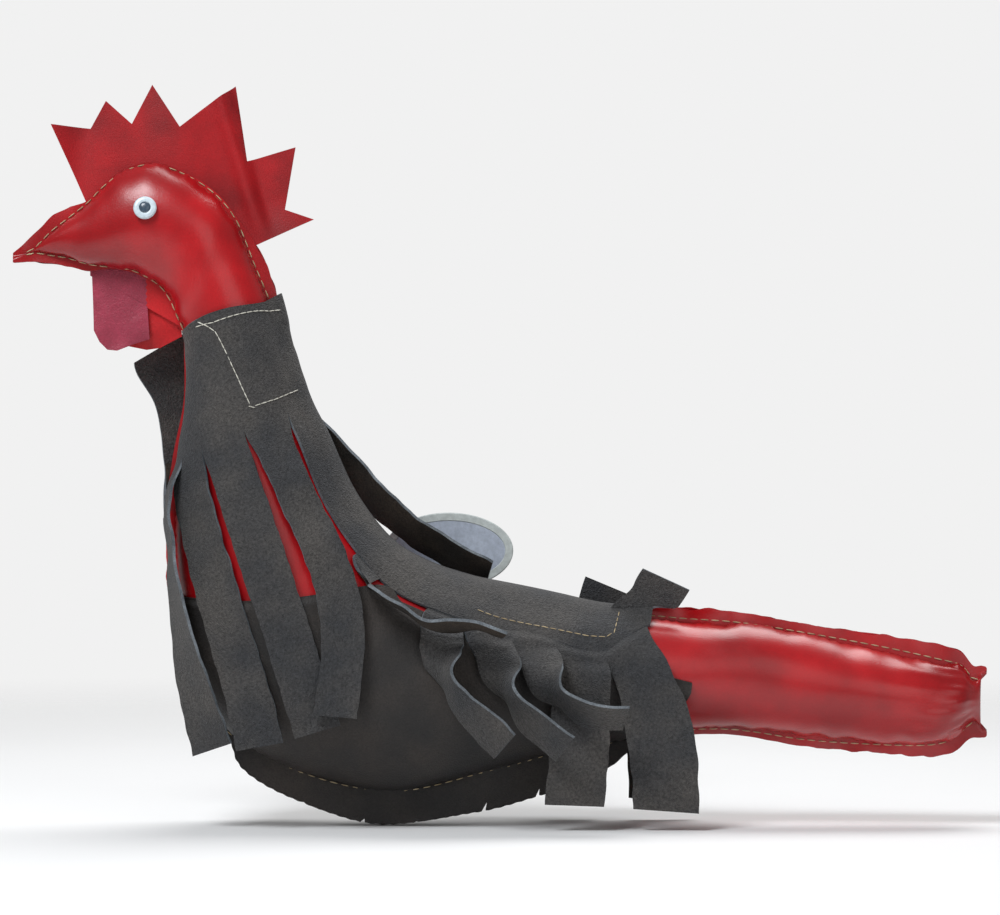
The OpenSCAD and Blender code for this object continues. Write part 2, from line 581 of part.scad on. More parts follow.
module thread(points) {
    loft([for (i = [0 : len(points) - 1]) tube_ring(points, i)]);
}

thread_gap = thread_d / 2 + layer_gap / 2;
// A line of stitches on the seam edge, a short way outside the seam
function edge_run(from, to, step, low, out, away) =
    [for (s = [from : step : to + 0.01])
        (low ? low_seam(s) - rise(s) * away : top_seam(s) + rise(s) * away)
        - [0, lean(s, low ? 180 : 0) + panel_t + out + thread_gap, 0]];
// A line of stitches on the cape, through points given as station and angle
function cape_run(marks, step) =
    [for (k = [0 : step : len(marks) - 1])
        let (i = min(floor(k), len(marks) - 2), m = blend(marks[i], marks[i + 1], k - i))
        cape_point(m[0], m[1], suede_t + thread_gap)];

module both_sides() {
    children();
    mirror([0, 1, 0]) children();
}

module body_thread() {
    color(cream) both_sides() {
        thread(edge_run(1, 11.5, 0.75, false, 0, 1.2));
        thread(edge_run(23, 27.8, 0.8, false, 0, 1.6));
        thread(edge_run(1, 11, 0.8, true, 0, 1.2));
        thread(edge_run(23.6, 27.6, 0.8, true, 0, 1.6));
    }
}

module belly_thread() {
    far = layer_gap * 2.2 + cover_t;
    color(cream) both_sides()
        thread(edge_run(17.6, 22, 0.4, true, far + 0.3, far + 1.2));
}

module collar_thread() {
    color(cream) {
        thread(cape_run([[12.15, 150], [12.15, 104], [12.15, 58], [12.15, 26]], 0.2));
        thread(cape_run([[12.4, 112], [13.1, 94], [13.8, 76], [13.85, 52], [13.85, 26]], 0.25));
    }
}

module saddle_thread() {
    color(cream) both_sides()
        thread(cape_run([[19.8, 38], [20.9, 40], [21.7, 44], [22.1, 40], [22.1, 27]], 0.25));
}

left_body_panel();
right_body_panel();
head_filling();
body_filling();
tail_filling();
left_eye();
left_pupil();
left_eye_washer();
right_eye();
right_pupil();
right_eye_washer();
comb();
wattle_root();
left_wattle();
right_wattle();
left_belly_cover();
right_belly_cover();
cape();
left_chest_strip();
left_neck_strip_1();
left_neck_strip_2();
left_neck_strip_3();
left_side_strip();
left_wing_strip_1();
left_wing_strip_2();
left_wing_strip_3();
left_flank_strip();
left_tail_strip();
left_top_strip();
right_chest_strip();
right_neck_strip_1();
right_neck_strip_2();
right_neck_strip_3();
right_side_strip();
right_wing_strip_1();
right_wing_strip_2();
right_wing_strip_3();
right_flank_strip();
right_tail_strip();
right_top_strip();
tag();
body_thread();
belly_thread();
collar_thread();
saddle_thread();
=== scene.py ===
# %% [markdown]
# # A stuffed leather rooster
# The bird is sewn from two red hides over a filling. A comb and two wattles are
# caught in its head seams, a grey suede cape with cut feather strips hangs
# round the neck and down the back, and a dark cover wraps the belly. The rigid
# design is loaded first, so that every soft piece can be fitted to it.

# %% Load the frame
import math
import bpy
import numpy as np
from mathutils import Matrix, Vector, geometry
from mathutils.bvhtree import BVHTree


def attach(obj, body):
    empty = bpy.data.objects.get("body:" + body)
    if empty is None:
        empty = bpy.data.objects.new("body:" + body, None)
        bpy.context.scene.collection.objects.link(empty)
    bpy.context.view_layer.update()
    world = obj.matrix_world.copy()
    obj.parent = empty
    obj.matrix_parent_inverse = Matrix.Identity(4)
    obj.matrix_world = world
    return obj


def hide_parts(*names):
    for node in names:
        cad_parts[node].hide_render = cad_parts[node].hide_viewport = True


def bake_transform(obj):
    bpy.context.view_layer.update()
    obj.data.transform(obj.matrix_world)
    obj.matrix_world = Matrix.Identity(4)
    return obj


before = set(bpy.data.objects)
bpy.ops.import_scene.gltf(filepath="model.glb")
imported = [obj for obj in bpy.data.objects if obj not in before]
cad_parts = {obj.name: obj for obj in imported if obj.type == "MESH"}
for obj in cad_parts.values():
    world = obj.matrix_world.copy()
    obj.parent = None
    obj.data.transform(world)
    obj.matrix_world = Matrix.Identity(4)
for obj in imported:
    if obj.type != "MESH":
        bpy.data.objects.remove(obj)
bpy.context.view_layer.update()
MM = 0.001

# %% [markdown]
# ## The camera
# The bird is seen square from its left side. A short lens close by would make
# the near feathers look large, so a long lens stands well back, and its focal
# length is worked out from how wide the view has to be at the bird.

# %% Camera
CAMERA_AWAY = 2.4
CAMERA_HEIGHT = 0.190
VIEW_WIDTH = 0.52
SENSOR_WIDTH = 36
camera_data = bpy.data.cameras.new("camera")
camera_data.sensor_width = SENSOR_WIDTH
camera_data.lens = SENSOR_WIDTH * CAMERA_AWAY / VIEW_WIDTH
camera = bpy.data.objects.new("camera", camera_data)
camera.location = (0, -CAMERA_AWAY, CAMERA_HEIGHT)
camera.rotation_euler = (math.radians(90), 0, 0)
bpy.context.scene.collection.objects.link(camera)
bpy.context.scene.camera = camera
print("lens", round(camera_data.lens, 1), "mm")

# %% [markdown]
# ## The lamps
# Glossy leather is told by broad soft highlights. Small lamps would give hard
# dots, so three large discs are used: a cool key from the upper left, a weak
# fill in front, and one above and behind that lights the comb and the back.

# %% Lamps
LAMPS = (
    ("key_upper_left", (-0.75, -1.15, 1.65), (0, 0, 0.15), 0.85, 30, (0.94, 0.97, 1.0)),
    ("fill_front", (0.9, -1.9, 0.9), (0, 0, 0.15), 1.5, 6.5, (1.0, 0.98, 0.97)),
    ("top_back", (0.2, 0.7, 1.7), (0, 0, 0.1), 1.3, 20, (1.0, 1.0, 1.0)),
)


def add_lamp(name, place, aim, size, power, colour):
    data = bpy.data.lights.new(name, "AREA")
    data.shape = "DISK"
    data.size = size
    data.energy = power
    data.color = colour
    lamp = bpy.data.objects.new(name, data)
    lamp.location = place
    lamp.rotation_euler = (Vector(aim) - Vector(place)).to_track_quat("-Z", "Y").to_euler()
    bpy.context.scene.collection.objects.link(lamp)


for lamp_values in LAMPS:
    add_lamp(*lamp_values)
print("lamps", [lamp_values[0] for lamp_values in LAMPS])

# %% [markdown]
# ## The room
# A pale room would light the bird from all sides and wash out its reds. The
# room is therefore dim as a light, but pale where the camera looks straight at
# it. The Standard view keeps the reds as they are mixed.

# %% Room
ROOM_LIGHT = 0.22
ROOM_SEEN = 0.88
world = bpy.data.worlds.new("pale_room")
world.use_nodes = True
room = world.node_tree.nodes["Background"]
room.inputs["Color"].default_value = (1, 1, 1, 1)
seen = world.node_tree.nodes.new("ShaderNodeLightPath")
strength = world.node_tree.nodes.new("ShaderNodeMapRange")
strength.inputs["To Min"].default_value = ROOM_LIGHT
strength.inputs["To Max"].default_value = ROOM_SEEN
world.node_tree.links.new(seen.outputs["Is Camera Ray"], strength.inputs["Value"])
world.node_tree.links.new(strength.outputs["Result"], room.inputs["Strength"])
bpy.context.scene.world = world
bpy.context.scene.view_settings.view_transform = "Standard"
print("room light", ROOM_LIGHT, "seen as", ROOM_SEEN)

# %% [markdown]
# ## Node helpers
# Node trees can be built by hand in the editor, but a script gives the same
# tree every time. Two small helpers keep the lines that build them short: one
# adds a node with its values, the other joins two sockets.


# %% Node helpers
def add_node(tree, kind, **values):
    node = tree.nodes.new(kind)
    for key, value in values.items():
        if key in node.inputs:
            node.inputs[key].default_value = value
        else:
            setattr(node, key, value)
    return node


def link(tree, a, b):
    tree.links.new(a, b)


# %% [markdown]
# ## The shared grain
# Leather is told from plastic by its pebbled grain and creases, and suede by
# its nap. A picture could be wrapped on, but it would stretch over the folds.
# One node group turns a place on the object into a height, a slow tone and a
# fine speckle, so that each hide only chooses its own scales.


# %% The grain group
def build_grain():
    tree = bpy.data.node_groups.new("hide_grain", "ShaderNodeTree")
    face = tree.interface
    face.new_socket("Position", in_out="INPUT", socket_type="NodeSocketVector")
    starts = (("Grain Scale", 900.0), ("Crease Scale", 60.0), ("Tone Scale", 25.0), ("Creases", 0.5))
    for name, value in starts:
        socket = face.new_socket(name, in_out="INPUT", socket_type="NodeSocketFloat")
        socket.default_value = value
    for name in ("Height", "Tone", "Speckle"):
        face.new_socket(name, in_out="OUTPUT", socket_type="NodeSocketFloat")
    enter = tree.nodes.new("NodeGroupInput")
    leave = tree.nodes.new("NodeGroupOutput")
    pebble = add_node(tree, "ShaderNodeTexVoronoi", feature="DISTANCE_TO_EDGE")
    link(tree, enter.outputs["Position"], pebble.inputs["Vector"])
    link(tree, enter.outputs["Grain Scale"], pebble.inputs["Scale"])
    crease = add_node(tree, "ShaderNodeTexNoise", Detail=6.0, Distortion=1.2)
    crease.noise_type = "RIDGED_MULTIFRACTAL"
    link(tree, enter.outputs["Position"], crease.inputs["Vector"])
    link(tree, enter.outputs["Crease Scale"], crease.inputs["Scale"])
    tone = add_node(tree, "ShaderNodeTexNoise", Detail=5.0)
    link(tree, enter.outputs["Position"], tone.inputs["Vector"])
    link(tree, enter.outputs["Tone Scale"], tone.inputs["Scale"])
    deep = add_node(tree, "ShaderNodeMath", operation="MULTIPLY")
    link(tree, crease.outputs["Fac"], deep.inputs[0])
    link(tree, enter.outputs["Creases"], deep.inputs[1])
    fine = add_node(tree, "ShaderNodeTexNoise", Detail=3.0, Roughness=0.7)
    link(tree, enter.outputs["Position"], fine.inputs["Vector"])
    link(tree, enter.outputs["Grain Scale"], fine.inputs["Scale"])
    grit = add_node(tree, "ShaderNodeMath", operation="ADD")
    link(tree, pebble.outputs["Distance"], grit.inputs[0])
    link(tree, fine.outputs["Fac"], grit.inputs[1])
    total = add_node(tree, "ShaderNodeMath", operation="ADD")
    link(tree, grit.outputs[0], total.inputs[0])
    link(tree, deep.outputs[0], total.inputs[1])
    link(tree, total.outputs[0], leave.inputs["Height"])
    link(tree, tone.outputs["Fac"], leave.inputs["Tone"])
    link(tree, fine.outputs["Fac"], leave.inputs["Speckle"])
    return tree


GRAIN = build_grain()
print("grain group", len(GRAIN.nodes), "nodes")


# %% [markdown]
# ## One hide
# Every finish here is a hide or behaves like one: two colours mixed by the slow
# tone, flecks from the speckle, a roughness that wanders a little, and relief
# from the height. A function makes it, so that each finish is one line of
# values: colours, roughness, scales, relief, and how much coat or fuzz it has.

# %% A hide material
TONE_LOW, TONE_HIGH = 0.36, 0.66
FLECK_LOW, FLECK_HIGH = 0.3, 0.7
ROUGH_WANDER = 0.07
COAT_ROUGHNESS = 0.24
SURFACE_GLOSS = 0.4
FUZZ_ROUGHNESS = 0.5


def hide(name, dark, light, rough, grain, crease, tone, creases, bump, distance,
         coat=0.0, sheen=0.0, speckle=0.15):
    made = bpy.data.materials.new(name)
    made.use_nodes = True
    tree = made.node_tree
    shader = tree.nodes["Principled BSDF"]
    place = tree.nodes.new("ShaderNodeTexCoord")
    group = tree.nodes.new("ShaderNodeGroup")
    group.node_tree = GRAIN
    group.inputs["Grain Scale"].default_value = grain
    group.inputs["Crease Scale"].default_value = crease
    group.inputs["Tone Scale"].default_value = tone
    group.inputs["Creases"].default_value = creases
    link(tree, place.outputs["Object"], group.inputs["Position"])
    ramp = tree.nodes.new("ShaderNodeValToRGB")
    ramp.color_ramp.elements[0].position = TONE_LOW
    ramp.color_ramp.elements[1].position = TONE_HIGH
    ramp.color_ramp.elements[0].color = (*dark, 1)
    ramp.color_ramp.elements[1].color = (*light, 1)
    link(tree, group.outputs["Tone"], ramp.inputs["Fac"])
    flecks = add_node(tree, "ShaderNodeMapRange")
    flecks.inputs["From Min"].default_value = FLECK_LOW
    flecks.inputs["From Max"].default_value = FLECK_HIGH
    flecks.inputs["To Min"].default_value = 1 - speckle
    flecks.inputs["To Max"].default_value = 1 + speckle
    link(tree, group.outputs["Speckle"], flecks.inputs["Value"])
    tint = add_node(tree, "ShaderNodeVectorMath", operation="SCALE")
    link(tree, ramp.outputs["Color"], tint.inputs[0])
    link(tree, flecks.outputs["Result"], tint.inputs["Scale"])
    link(tree, tint.outputs["Vector"], shader.inputs["Base Color"])
    spread = add_node(tree, "ShaderNodeMapRange")
    spread.inputs["To Min"].default_value = rough - ROUGH_WANDER
    spread.inputs["To Max"].default_value = rough + ROUGH_WANDER
    link(tree, group.outputs["Tone"], spread.inputs["Value"])
    link(tree, spread.outputs["Result"], shader.inputs["Roughness"])
    relief = add_node(tree, "ShaderNodeBump", Strength=bump, Distance=distance)
    link(tree, group.outputs["Height"], relief.inputs["Height"])
    link(tree, relief.outputs["Normal"], shader.inputs["Normal"])
    shader.inputs["Coat Weight"].default_value = coat
    shader.inputs["Coat Roughness"].default_value = COAT_ROUGHNESS
    shader.inputs["Specular IOR Level"].default_value = SURFACE_GLOSS
    shader.inputs["Sheen Weight"].default_value = sheen
    shader.inputs["Sheen Roughness"].default_value = FUZZ_ROUGHNESS
    return made


# %% [markdown]
# ## The red hides
# The body is deep red leather with a glossy finish. The comb is the same hide
# with less shine. The front wattle is red leather whose colour is painted
# purplish pink, a painted reflection of the sky, and the rear one is bright red.

# %% Red hides
RED = hide(
    "red_leather", (0.27, 0.0015, 0.0040), (0.50, 0.0035, 0.0080), 0.33, 900, 55, 22, 0.4, 0.22,
    0.0004, coat=0.40, speckle=0.06,
)
COMB_RED = hide(
    "comb_leather", (0.22, 0.0015, 0.0040), (0.42, 0.0030, 0.0070), 0.55, 900, 70, 30, 0.5, 0.3,
    0.0004, speckle=0.08,
)
# The purplish pink is a painted reflection of the sky on the front wattle's red leather.
WATTLE_PAINTED_REFLECTION = hide(
    "wattle_painted_reflection", (0.22, 0.020, 0.040), (0.36, 0.036, 0.072), 0.50, 700, 90, 40, 1.2,
    0.5, 0.0006, speckle=0.12,
)
WATTLE_BACK = hide(
    "wattle_back_leather", (0.40, 0.003, 0.006), (0.56, 0.006, 0.010), 0.55, 700, 90, 40, 0.6,
    0.35, 0.0005, speckle=0.08,
)
print("red hides made")

# %% [markdown]
# ## The suede and the belly hide
# Suede is rough and speckled, with a faint fuzz. Its cut edge is paler and
# bluer, and its underside is browner. The belly hide is nearly black, smoother
# than the suede and far less shiny than the red.

# %% Dark hides
SUEDE = hide(
    "suede_face", (0.026, 0.027, 0.030), (0.060, 0.055, 0.051), 0.72, 760, 260, 30, 0.3, 0.9,
    0.0008, sheen=0.10, speckle=0.55,
)
SUEDE_EDGE = hide(
    "suede_cut_edge", (0.07, 0.08, 0.09), (0.17, 0.19, 0.21), 0.9, 1300, 200, 90, 0.2, 0.5, 0.0004,
    speckle=0.4,
)
SUEDE_BACK = hide(
    "suede_underside", (0.010, 0.008, 0.006), (0.045, 0.033, 0.024), 0.9, 900, 300, 40, 0.5, 0.8,
    0.0006, speckle=0.5,
)
BELLY = hide(
    "belly_leather", (0.012, 0.011, 0.011), (0.034, 0.027, 0.023), 0.58, 900, 60, 24, 0.3, 0.6,
    0.0005, speckle=0.35,
)
print("dark hides made")

# %% [markdown]
# ## Thread, wadding, eyes, tag and floor
# The small parts use the same function with a fine grain: tan thread on the
# seams, pale thread on the collar, white wadding, glossy eye discs and a tag
# with a paler border. The floor is plain.

# %% Small finishes
THREAD = hide(
    "cream_thread", (0.36, 0.27, 0.15), (0.60, 0.48, 0.30), 0.8, 1800, 900, 200, 0.3, 0.5, 0.0002,
)
PALE_THREAD = hide(
    "pale_thread", (0.50, 0.48, 0.42), (0.72, 0.70, 0.62), 0.8, 1800, 900, 200, 0.3, 0.5, 0.0002,
)
WADDING = hide("wadding", (0.62, 0.60, 0.55), (0.82, 0.80, 0.76), 0.95, 500, 120, 60, 0.8, 0.7, 0.001)
EYE_WHITE = hide("eye_disc", (0.52, 0.62, 0.68), (0.66, 0.76, 0.82), 0.25, 300, 80, 60, 0.1, 0.05, 0.0001,
                 coat=0.4)
EYE_SLATE = hide(
    "eye_pupil", (0.030, 0.055, 0.085), (0.060, 0.095, 0.130), 0.25, 300, 80, 60, 0.1, 0.05,
    0.0001, coat=0.4,
)
WASHER = hide(
    "washer_plastic", (0.62, 0.62, 0.62), (0.74, 0.74, 0.74), 0.55, 400, 90, 60, 0.1, 0.1, 0.0001,
)
TAG_FACE = hide("tag_card", (0.34, 0.38, 0.46), (0.44, 0.49, 0.58), 0.35, 400, 60, 30, 0.1, 0.08, 0.0001,
                coat=0.25)
TAG_BORDER = hide(
    "tag_border", (0.42, 0.46, 0.46), (0.56, 0.60, 0.58), 0.4, 400, 60, 30, 0.1, 0.08, 0.0001,
    coat=0.2,
)
FLOOR = hide(
    "pale_floor", (0.86, 0.86, 0.86), (0.88, 0.88, 0.88), 0.9, 40, 3, 2, 0.1, 0.0, 0.0001,
    speckle=0.0,
)
print("materials", len(bpy.data.materials))

# %% [markdown]
# ## A mesh from points
# Most pieces are drawn as points and faces, worked out with numpy. One helper
# turns them into an object, shades it smooth and keeps the cut rims crisp.


# %% A mesh from points
CRISP_FROM = math.radians(50)


def add_mesh(name, points, faces, materials, which=None, smooth=True):
    mesh = bpy.data.meshes.new(name)
    mesh.from_pydata([tuple(p) for p in points], [], [tuple(f) for f in faces])
    for m in materials:
        mesh.materials.append(m)
    if which is not None:
        mesh.polygons.foreach_set("material_index", np.asarray(which, np.int32))
    mesh.polygons.foreach_set("use_smooth", np.full(len(mesh.polygons), smooth))
    mesh.update()
    if smooth:
        mesh.set_sharp_from_angle(angle=CRISP_FROM)
    piece = bpy.data.objects.new(name, mesh)
    bpy.context.scene.collection.objects.link(piece)
    return piece


# %% [markdown]
# ## The floor
# A wall behind the bird would stand in the way of every other view. A pale
# disc that fades out into the room keeps the background even on all sides, and
# still catches a soft shadow under the belly.

# %% Floor
FLOOR_DROP = 0.0012
FLOOR_REACH = 2.2
FLOOR_CORNERS = 64
FADE_FROM, FADE_TO = 0.45, 1.7
rim_turns = np.linspace(0, 2 * math.pi, FLOOR_CORNERS, endpoint=False)
floor_points = [(FLOOR_REACH * math.cos(t), FLOOR_REACH * math.sin(t), -FLOOR_DROP) for t in rim_turns]
floor = add_mesh("floor", floor_points, [tuple(range(FLOOR_CORNERS))], [FLOOR], smooth=False)
floor_tree = FLOOR.node_tree
floor_place = floor_tree.nodes.new("ShaderNodeTexCoord")
floor_away = add_node(floor_tree, "ShaderNodeVectorMath", operation="LENGTH")
link(floor_tree, floor_place.outputs["Object"], floor_away.inputs[0])
floor_fade = add_node(floor_tree, "ShaderNodeMapRange", interpolation_type="SMOOTHSTEP")
floor_fade.inputs["From Min"].default_value = FADE_FROM
floor_fade.inputs["From Max"].default_value = FADE_TO
floor_fade.inputs["To Min"].default_value = 1.0
floor_fade.inputs["To Max"].default_value = 0.0
link(floor_tree, floor_away.outputs["Value"], floor_fade.inputs["Value"])
link(floor_tree, floor_fade.outputs["Result"], floor_tree.nodes["Principled BSDF"].inputs["Alpha"])
print("floor fades out between", FADE_FROM, "and", FADE_TO, "m")

# %% [markdown]
# ## The shape of the stuffed bird
# A stuffed body is a row of rounded sections between a top seam and a bottom
# seam. Each row of the table is one station from the beak to the tail: the top
# seam point, the bottom seam point and the half width in millimetres, and the
# shares of the seam edge left outside the stitches above and below. The shape
# could be sculpted, but a table follows the design and is easy to correct.

# %% Stations
STATIONS = np.array([
    [-253, 295, -253, 292.5, 3, 0.15, 0.15], [-243, 297.5, -243, 296.5, 4, 0.9, 0.6],
    [-233, 307, -233, 295.5, 9, 1.05, 0.6], [-224, 314, -224, 294, 12.5, 0.75, 0.6],
    [-214, 322, -214, 291, 16, 0.2, 0.5], [-205, 331, -203, 289.5, 19, 0.2, 0.2],
    [-193, 339, -192, 288, 22, 0.2, 0.2], [-179, 341.5, -183, 284, 24, 0.2, 0.2],
    [-163, 336, -176, 279, 24.5, 0.2, 0.2], [-148, 326, -171, 272, 24, 0.2, 0.2],
    [-137, 312, -167, 263, 23, 0.25, 0.2], [-128, 290, -163.5, 255, 22.5, 0.8, 0.2],
    [-119, 268, -162, 244, 22.5, 0.6, 0.3], [-112, 246, -162, 220, 24, 0.35, 0.35],
    [-104, 221, -166, 194, 28, 0.35, 0.5], [-94, 200, -168.5, 168, 32, 0.35, 0.65],
    [-80, 171, -168.5, 137, 36, 0.35, 0.65], [-62, 147, -166, 110, 39, 0.35, 0.65],
    [-44, 135, -156, 70, 41.5, 0.35, 0.65], [-22, 126.5, -120, 37.5, 42, 0.35, 0.65],
    [2, 120, -59, 20, 41, 0.35, 0.65], [30, 114, -3, 31, 37, 0.35, 0.65],
    [58, 109, 38, 42, 32, 0.35, 0.6], [92, 105.5, 85, 48.5, 28.5, 0.8, 0.5],
    [125, 103, 120, 50, 27.5, 0.8, 0.5], [163, 97, 160, 44.5, 27, 0.7, 0.6],
    [201, 90, 199, 42, 25.5, 0.9, 0.7], [226, 84.5, 224, 42, 23, 1.1, 0.9],
    [239, 81, 236, 45.5, 19, 1.0, 1.1], [246.5, 74, 245.5, 53, 11, 0.9, 1.1],
    [253, 79, 253, 47, 4, 0.6, 0.6],
])
LAST = len(STATIONS) - 1
PANEL_T = 1.6
SEAM_EDGE = 8.0
COMB_T = 1.6
WATTLE_T = 1.4
SUEDE_T = 1.6
COVER_T = 1.6
GAP = 0.4
WATTLE_TO = 11.0
print("body length", np.ptp(STATIONS[:, 0]), "mm")

# %% [markdown]
# ## From the table to a place on the bird
# A station number between two rows gives a smooth section between them. From
# a section, an angle and a distance off the skin, every later piece can find
# its place on the bird, as a tailor measures round a dummy.


# %% Sections and skin
def along(rows, s):
    """A smooth curve through the rows, at station s."""
    s = np.asarray(s, float)
    n = len(rows) - 1
    i = np.clip(np.floor(s).astype(int), 0, n - 1)
    t = (s - i)[..., None]
    p0, p1 = rows[np.maximum(i - 1, 0)], rows[i]
    p2, p3 = rows[i + 1], rows[np.minimum(i + 2, n)]
    return 0.5 * (2 * p1 + (p2 - p0) * t + (2 * p0 - 5 * p1 + 4 * p2 - p3) * t**2
                  + (3 * p1 - p0 - 3 * p2 + p3) * t**3)


def ramp01(x, low, high):
    """0 below low, 1 above high, smooth between."""
    t = np.clip((np.asarray(x, float) - low) / (high - low), 0, 1)
    return t * t * (3 - 2 * t)


def section(s):
    """Middle, up direction, reach, half width, and lifts at top and bottom."""
    r = along(STATIONS, s)
    top = np.stack([r[..., 0], 0 * r[..., 0], r[..., 1]], -1)
    low = np.stack([r[..., 2], 0 * r[..., 2], r[..., 3]], -1)
    reach = np.linalg.norm(top - low, axis=-1) / 2
    up = (top - low) / (2 * reach[..., None])
    share = np.clip(np.asarray(s, float) - WATTLE_TO - 0.5, 0, 1)
    lift_top = (COMB_T / 2 + GAP / 4) * (1 - share) + GAP / 4 * share
    lift_low = (WATTLE_T + GAP / 2) * (1 - share) + GAP / 4 * share
    return (top + low) / 2, up, reach, np.maximum(r[..., 4], 0), lift_top, lift_low, r


def skin(s, a, out):
    """Point on the bird; a is 0 at the top seam, 90 on the left, 180 below."""
    s, a, out = np.broadcast_arrays(np.asarray(s, float), np.asarray(a, float), np.asarray(out, float))
    mid, up, reach, half, lift_top, lift_low, _ = section(s)
    rad = np.radians(a)
    mix = (1 + np.cos(rad)) / 2
    lift = lift_low + (lift_top - lift_low) * mix + PANEL_T
    side = np.sign(np.sin(rad))
    seam_side = np.minimum(1, np.abs(np.sin(rad)) * 4) * side
    y = lift * seam_side + (np.maximum(0, half - lift) + out) * np.sin(rad)
    point = mid + up * ((reach + out) * np.cos(rad))[..., None]
    point[..., 1] -= y
    return point


beak_middle = section(np.array(0.0))[0]
print("beak tip at", beak_middle.round(1))


# %% [markdown]
# ## Seeded waves
# Hand-sewn leather is never even. A few sine waves with fixed seeds make lumps,
# puckers and flutter that come out the same on every run, which a simulation
# or a painted relief would not promise so simply.


# %% Waves
def waves(x, y, size, seed, count=9):
    """Soft lumps between about -1 and 1; size is their rough width."""
    rng = np.random.default_rng(seed)
    total = np.zeros(np.broadcast(x, y).shape)
    for _ in range(count):
        angle = rng.uniform(0, 2 * math.pi)
        length = size * rng.uniform(0.6, 1.6)
        phase = rng.uniform(0, 2 * math.pi)
        total = total + np.sin((x * math.cos(angle) + y * math.sin(angle)) * 2 * math.pi / length + phase)
    return total / math.sqrt(count)


print("a wave at the origin", float(waves(0.0, 0.0, 30, 1).round(3)))

# %% [markdown]
# ## Closed sheets
# A hide is a sheet with two faces and a cut rim. Solidify could thicken a
# surface, but the two faces are drawn separately here, because they keep their
# own distance from the body. A grid of points becomes faces, the two grids are
# closed with a rim, and the whole is turned so that its faces point outwards.


# %% Closed sheets
def grid_faces(rows, cols, start=0, flip=False, wrap=False):
    faces = []
    for i in range(rows - 1):
        for j in range(cols if wrap else cols - 1):
            a, b = start + i * cols + j, start + i * cols + (j + 1) % cols
            quad = (a, b, b + cols, a + cols)
            faces.append(quad[::-1] if flip else quad)
    return faces


def signed_volume(points, faces):
    p = np.asarray(points)
    total = 0.0
    for f in faces:
        for k in range(1, len(f) - 1):
            total += np.dot(p[f[0]], np.cross(p[f[k]], p[f[k + 1]]))
    return total / 6


def shell(name, outer, inner, materials, ids=(0, 1, 2)):
    """A closed sheet from an outer and an inner grid of points in millimetres."""
    rows, cols = outer.shape[:2]
    n = rows * cols
    points = np.concatenate([outer.reshape(-1, 3), inner.reshape(-1, 3)]) * MM
    faces = grid_faces(rows, cols)
    which = [ids[0]] * len(faces)
    back = grid_faces(rows, cols, n, flip=True)
    faces += back
    which += [ids[1]] * len(back)
    rim = [(i * cols, (i + 1) * cols) for i in range(rows - 1)]
    rim += [((rows - 1) * cols + j, (rows - 1) * cols + j + 1) for j in range(cols - 1)]
    rim += [((i + 1) * cols - 1 + cols, (i + 1) * cols - 1) for i in range(rows - 1)]
    rim += [(j + 1, j) for j in range(cols - 1)]
    for a, b in rim:
        faces.append((a, b, b + n, a + n)[::-1])
        which.append(ids[2])
    if signed_volume(points, faces) < 0:
        faces = [f[::-1] for f in faces]
    return add_mesh(name, points, faces, materials, which)


def to_side(grid, side):
    """The same points on the left (1) or mirrored to the right (-1)."""
    out = grid.copy()
    out[..., 1] *= side
    return out


def run_length(points):
    """Distance walked along a row of points, starting from 0."""
    steps = np.linalg.norm(np.diff(points, axis=0), axis=-1)
    return np.concatenate([[0], np.cumsum(steps)])


# %% [markdown]
# ## The edge outside the stitches
# Outside the seam the two hides run on for a few millimetres. This edge is
# trimmed by hand, so that its width wanders, and it flutters from side to side
# except at the tail end, where it is cut short and round.

# %% Seam edge
PITCH = 5.5
ROWS = 420
ARC = 44
EDGE = 6
SHORTEST_EDGE = 0.8
FLUTTER, FLUTTER_SIZE = 1.1, 34
HEM_WANDER, HEM_SIZE = 0.5, 12


def edge_width(s, share):
    """Width left outside the stitches, rounded off at the tail end."""
    width = np.maximum(SHORTEST_EDGE, share * SEAM_EDGE)
    rounded = np.sqrt(1 - np.clip((s - 29) / 1.04, 0, 1) ** 2)
    return np.maximum(SHORTEST_EDGE, width * rounded)


def seam_edge(s, seam_away, width, run, lift, seeds, side):
    """Rows of the edge from the stitches outwards; seam_away(f) is its place."""
    calm = 1 - 0.8 * ramp01(s, 28.2, 29.6)
    soft = ramp01(width, 3.2, 6)
    rows = []
    for k in range(1, EDGE + 1):
        f = k / EDGE
        flutter = FLUTTER * waves(run, 0 * run, FLUTTER_SIZE, seeds[0]) * f**1.5 * soft * calm
        hem = width + HEM_WANDER * waves(run, 0 * run, HEM_SIZE, seeds[1]) * soft
        p = seam_away(hem * f)
        p[:, 1] = -lift - side * flutter
        rows.append(p)
    return rows


print("seam edge has", EDGE, "rows")

# %% [markdown]
# ## The red side panels
# Each side is one hide, stretched over the filling and sewn to the other along
# the back and the belly. Cloth simulation could inflate it, but the outline
# would drift away from the design. Here the sections give the outline, and
# waves add what sewing does: the leather puckers at every stitch, fans out
# from the seams, lumps over the filling, and folds near the tail.


# %% Red panels
TAIL_PULL_IN = 6.0


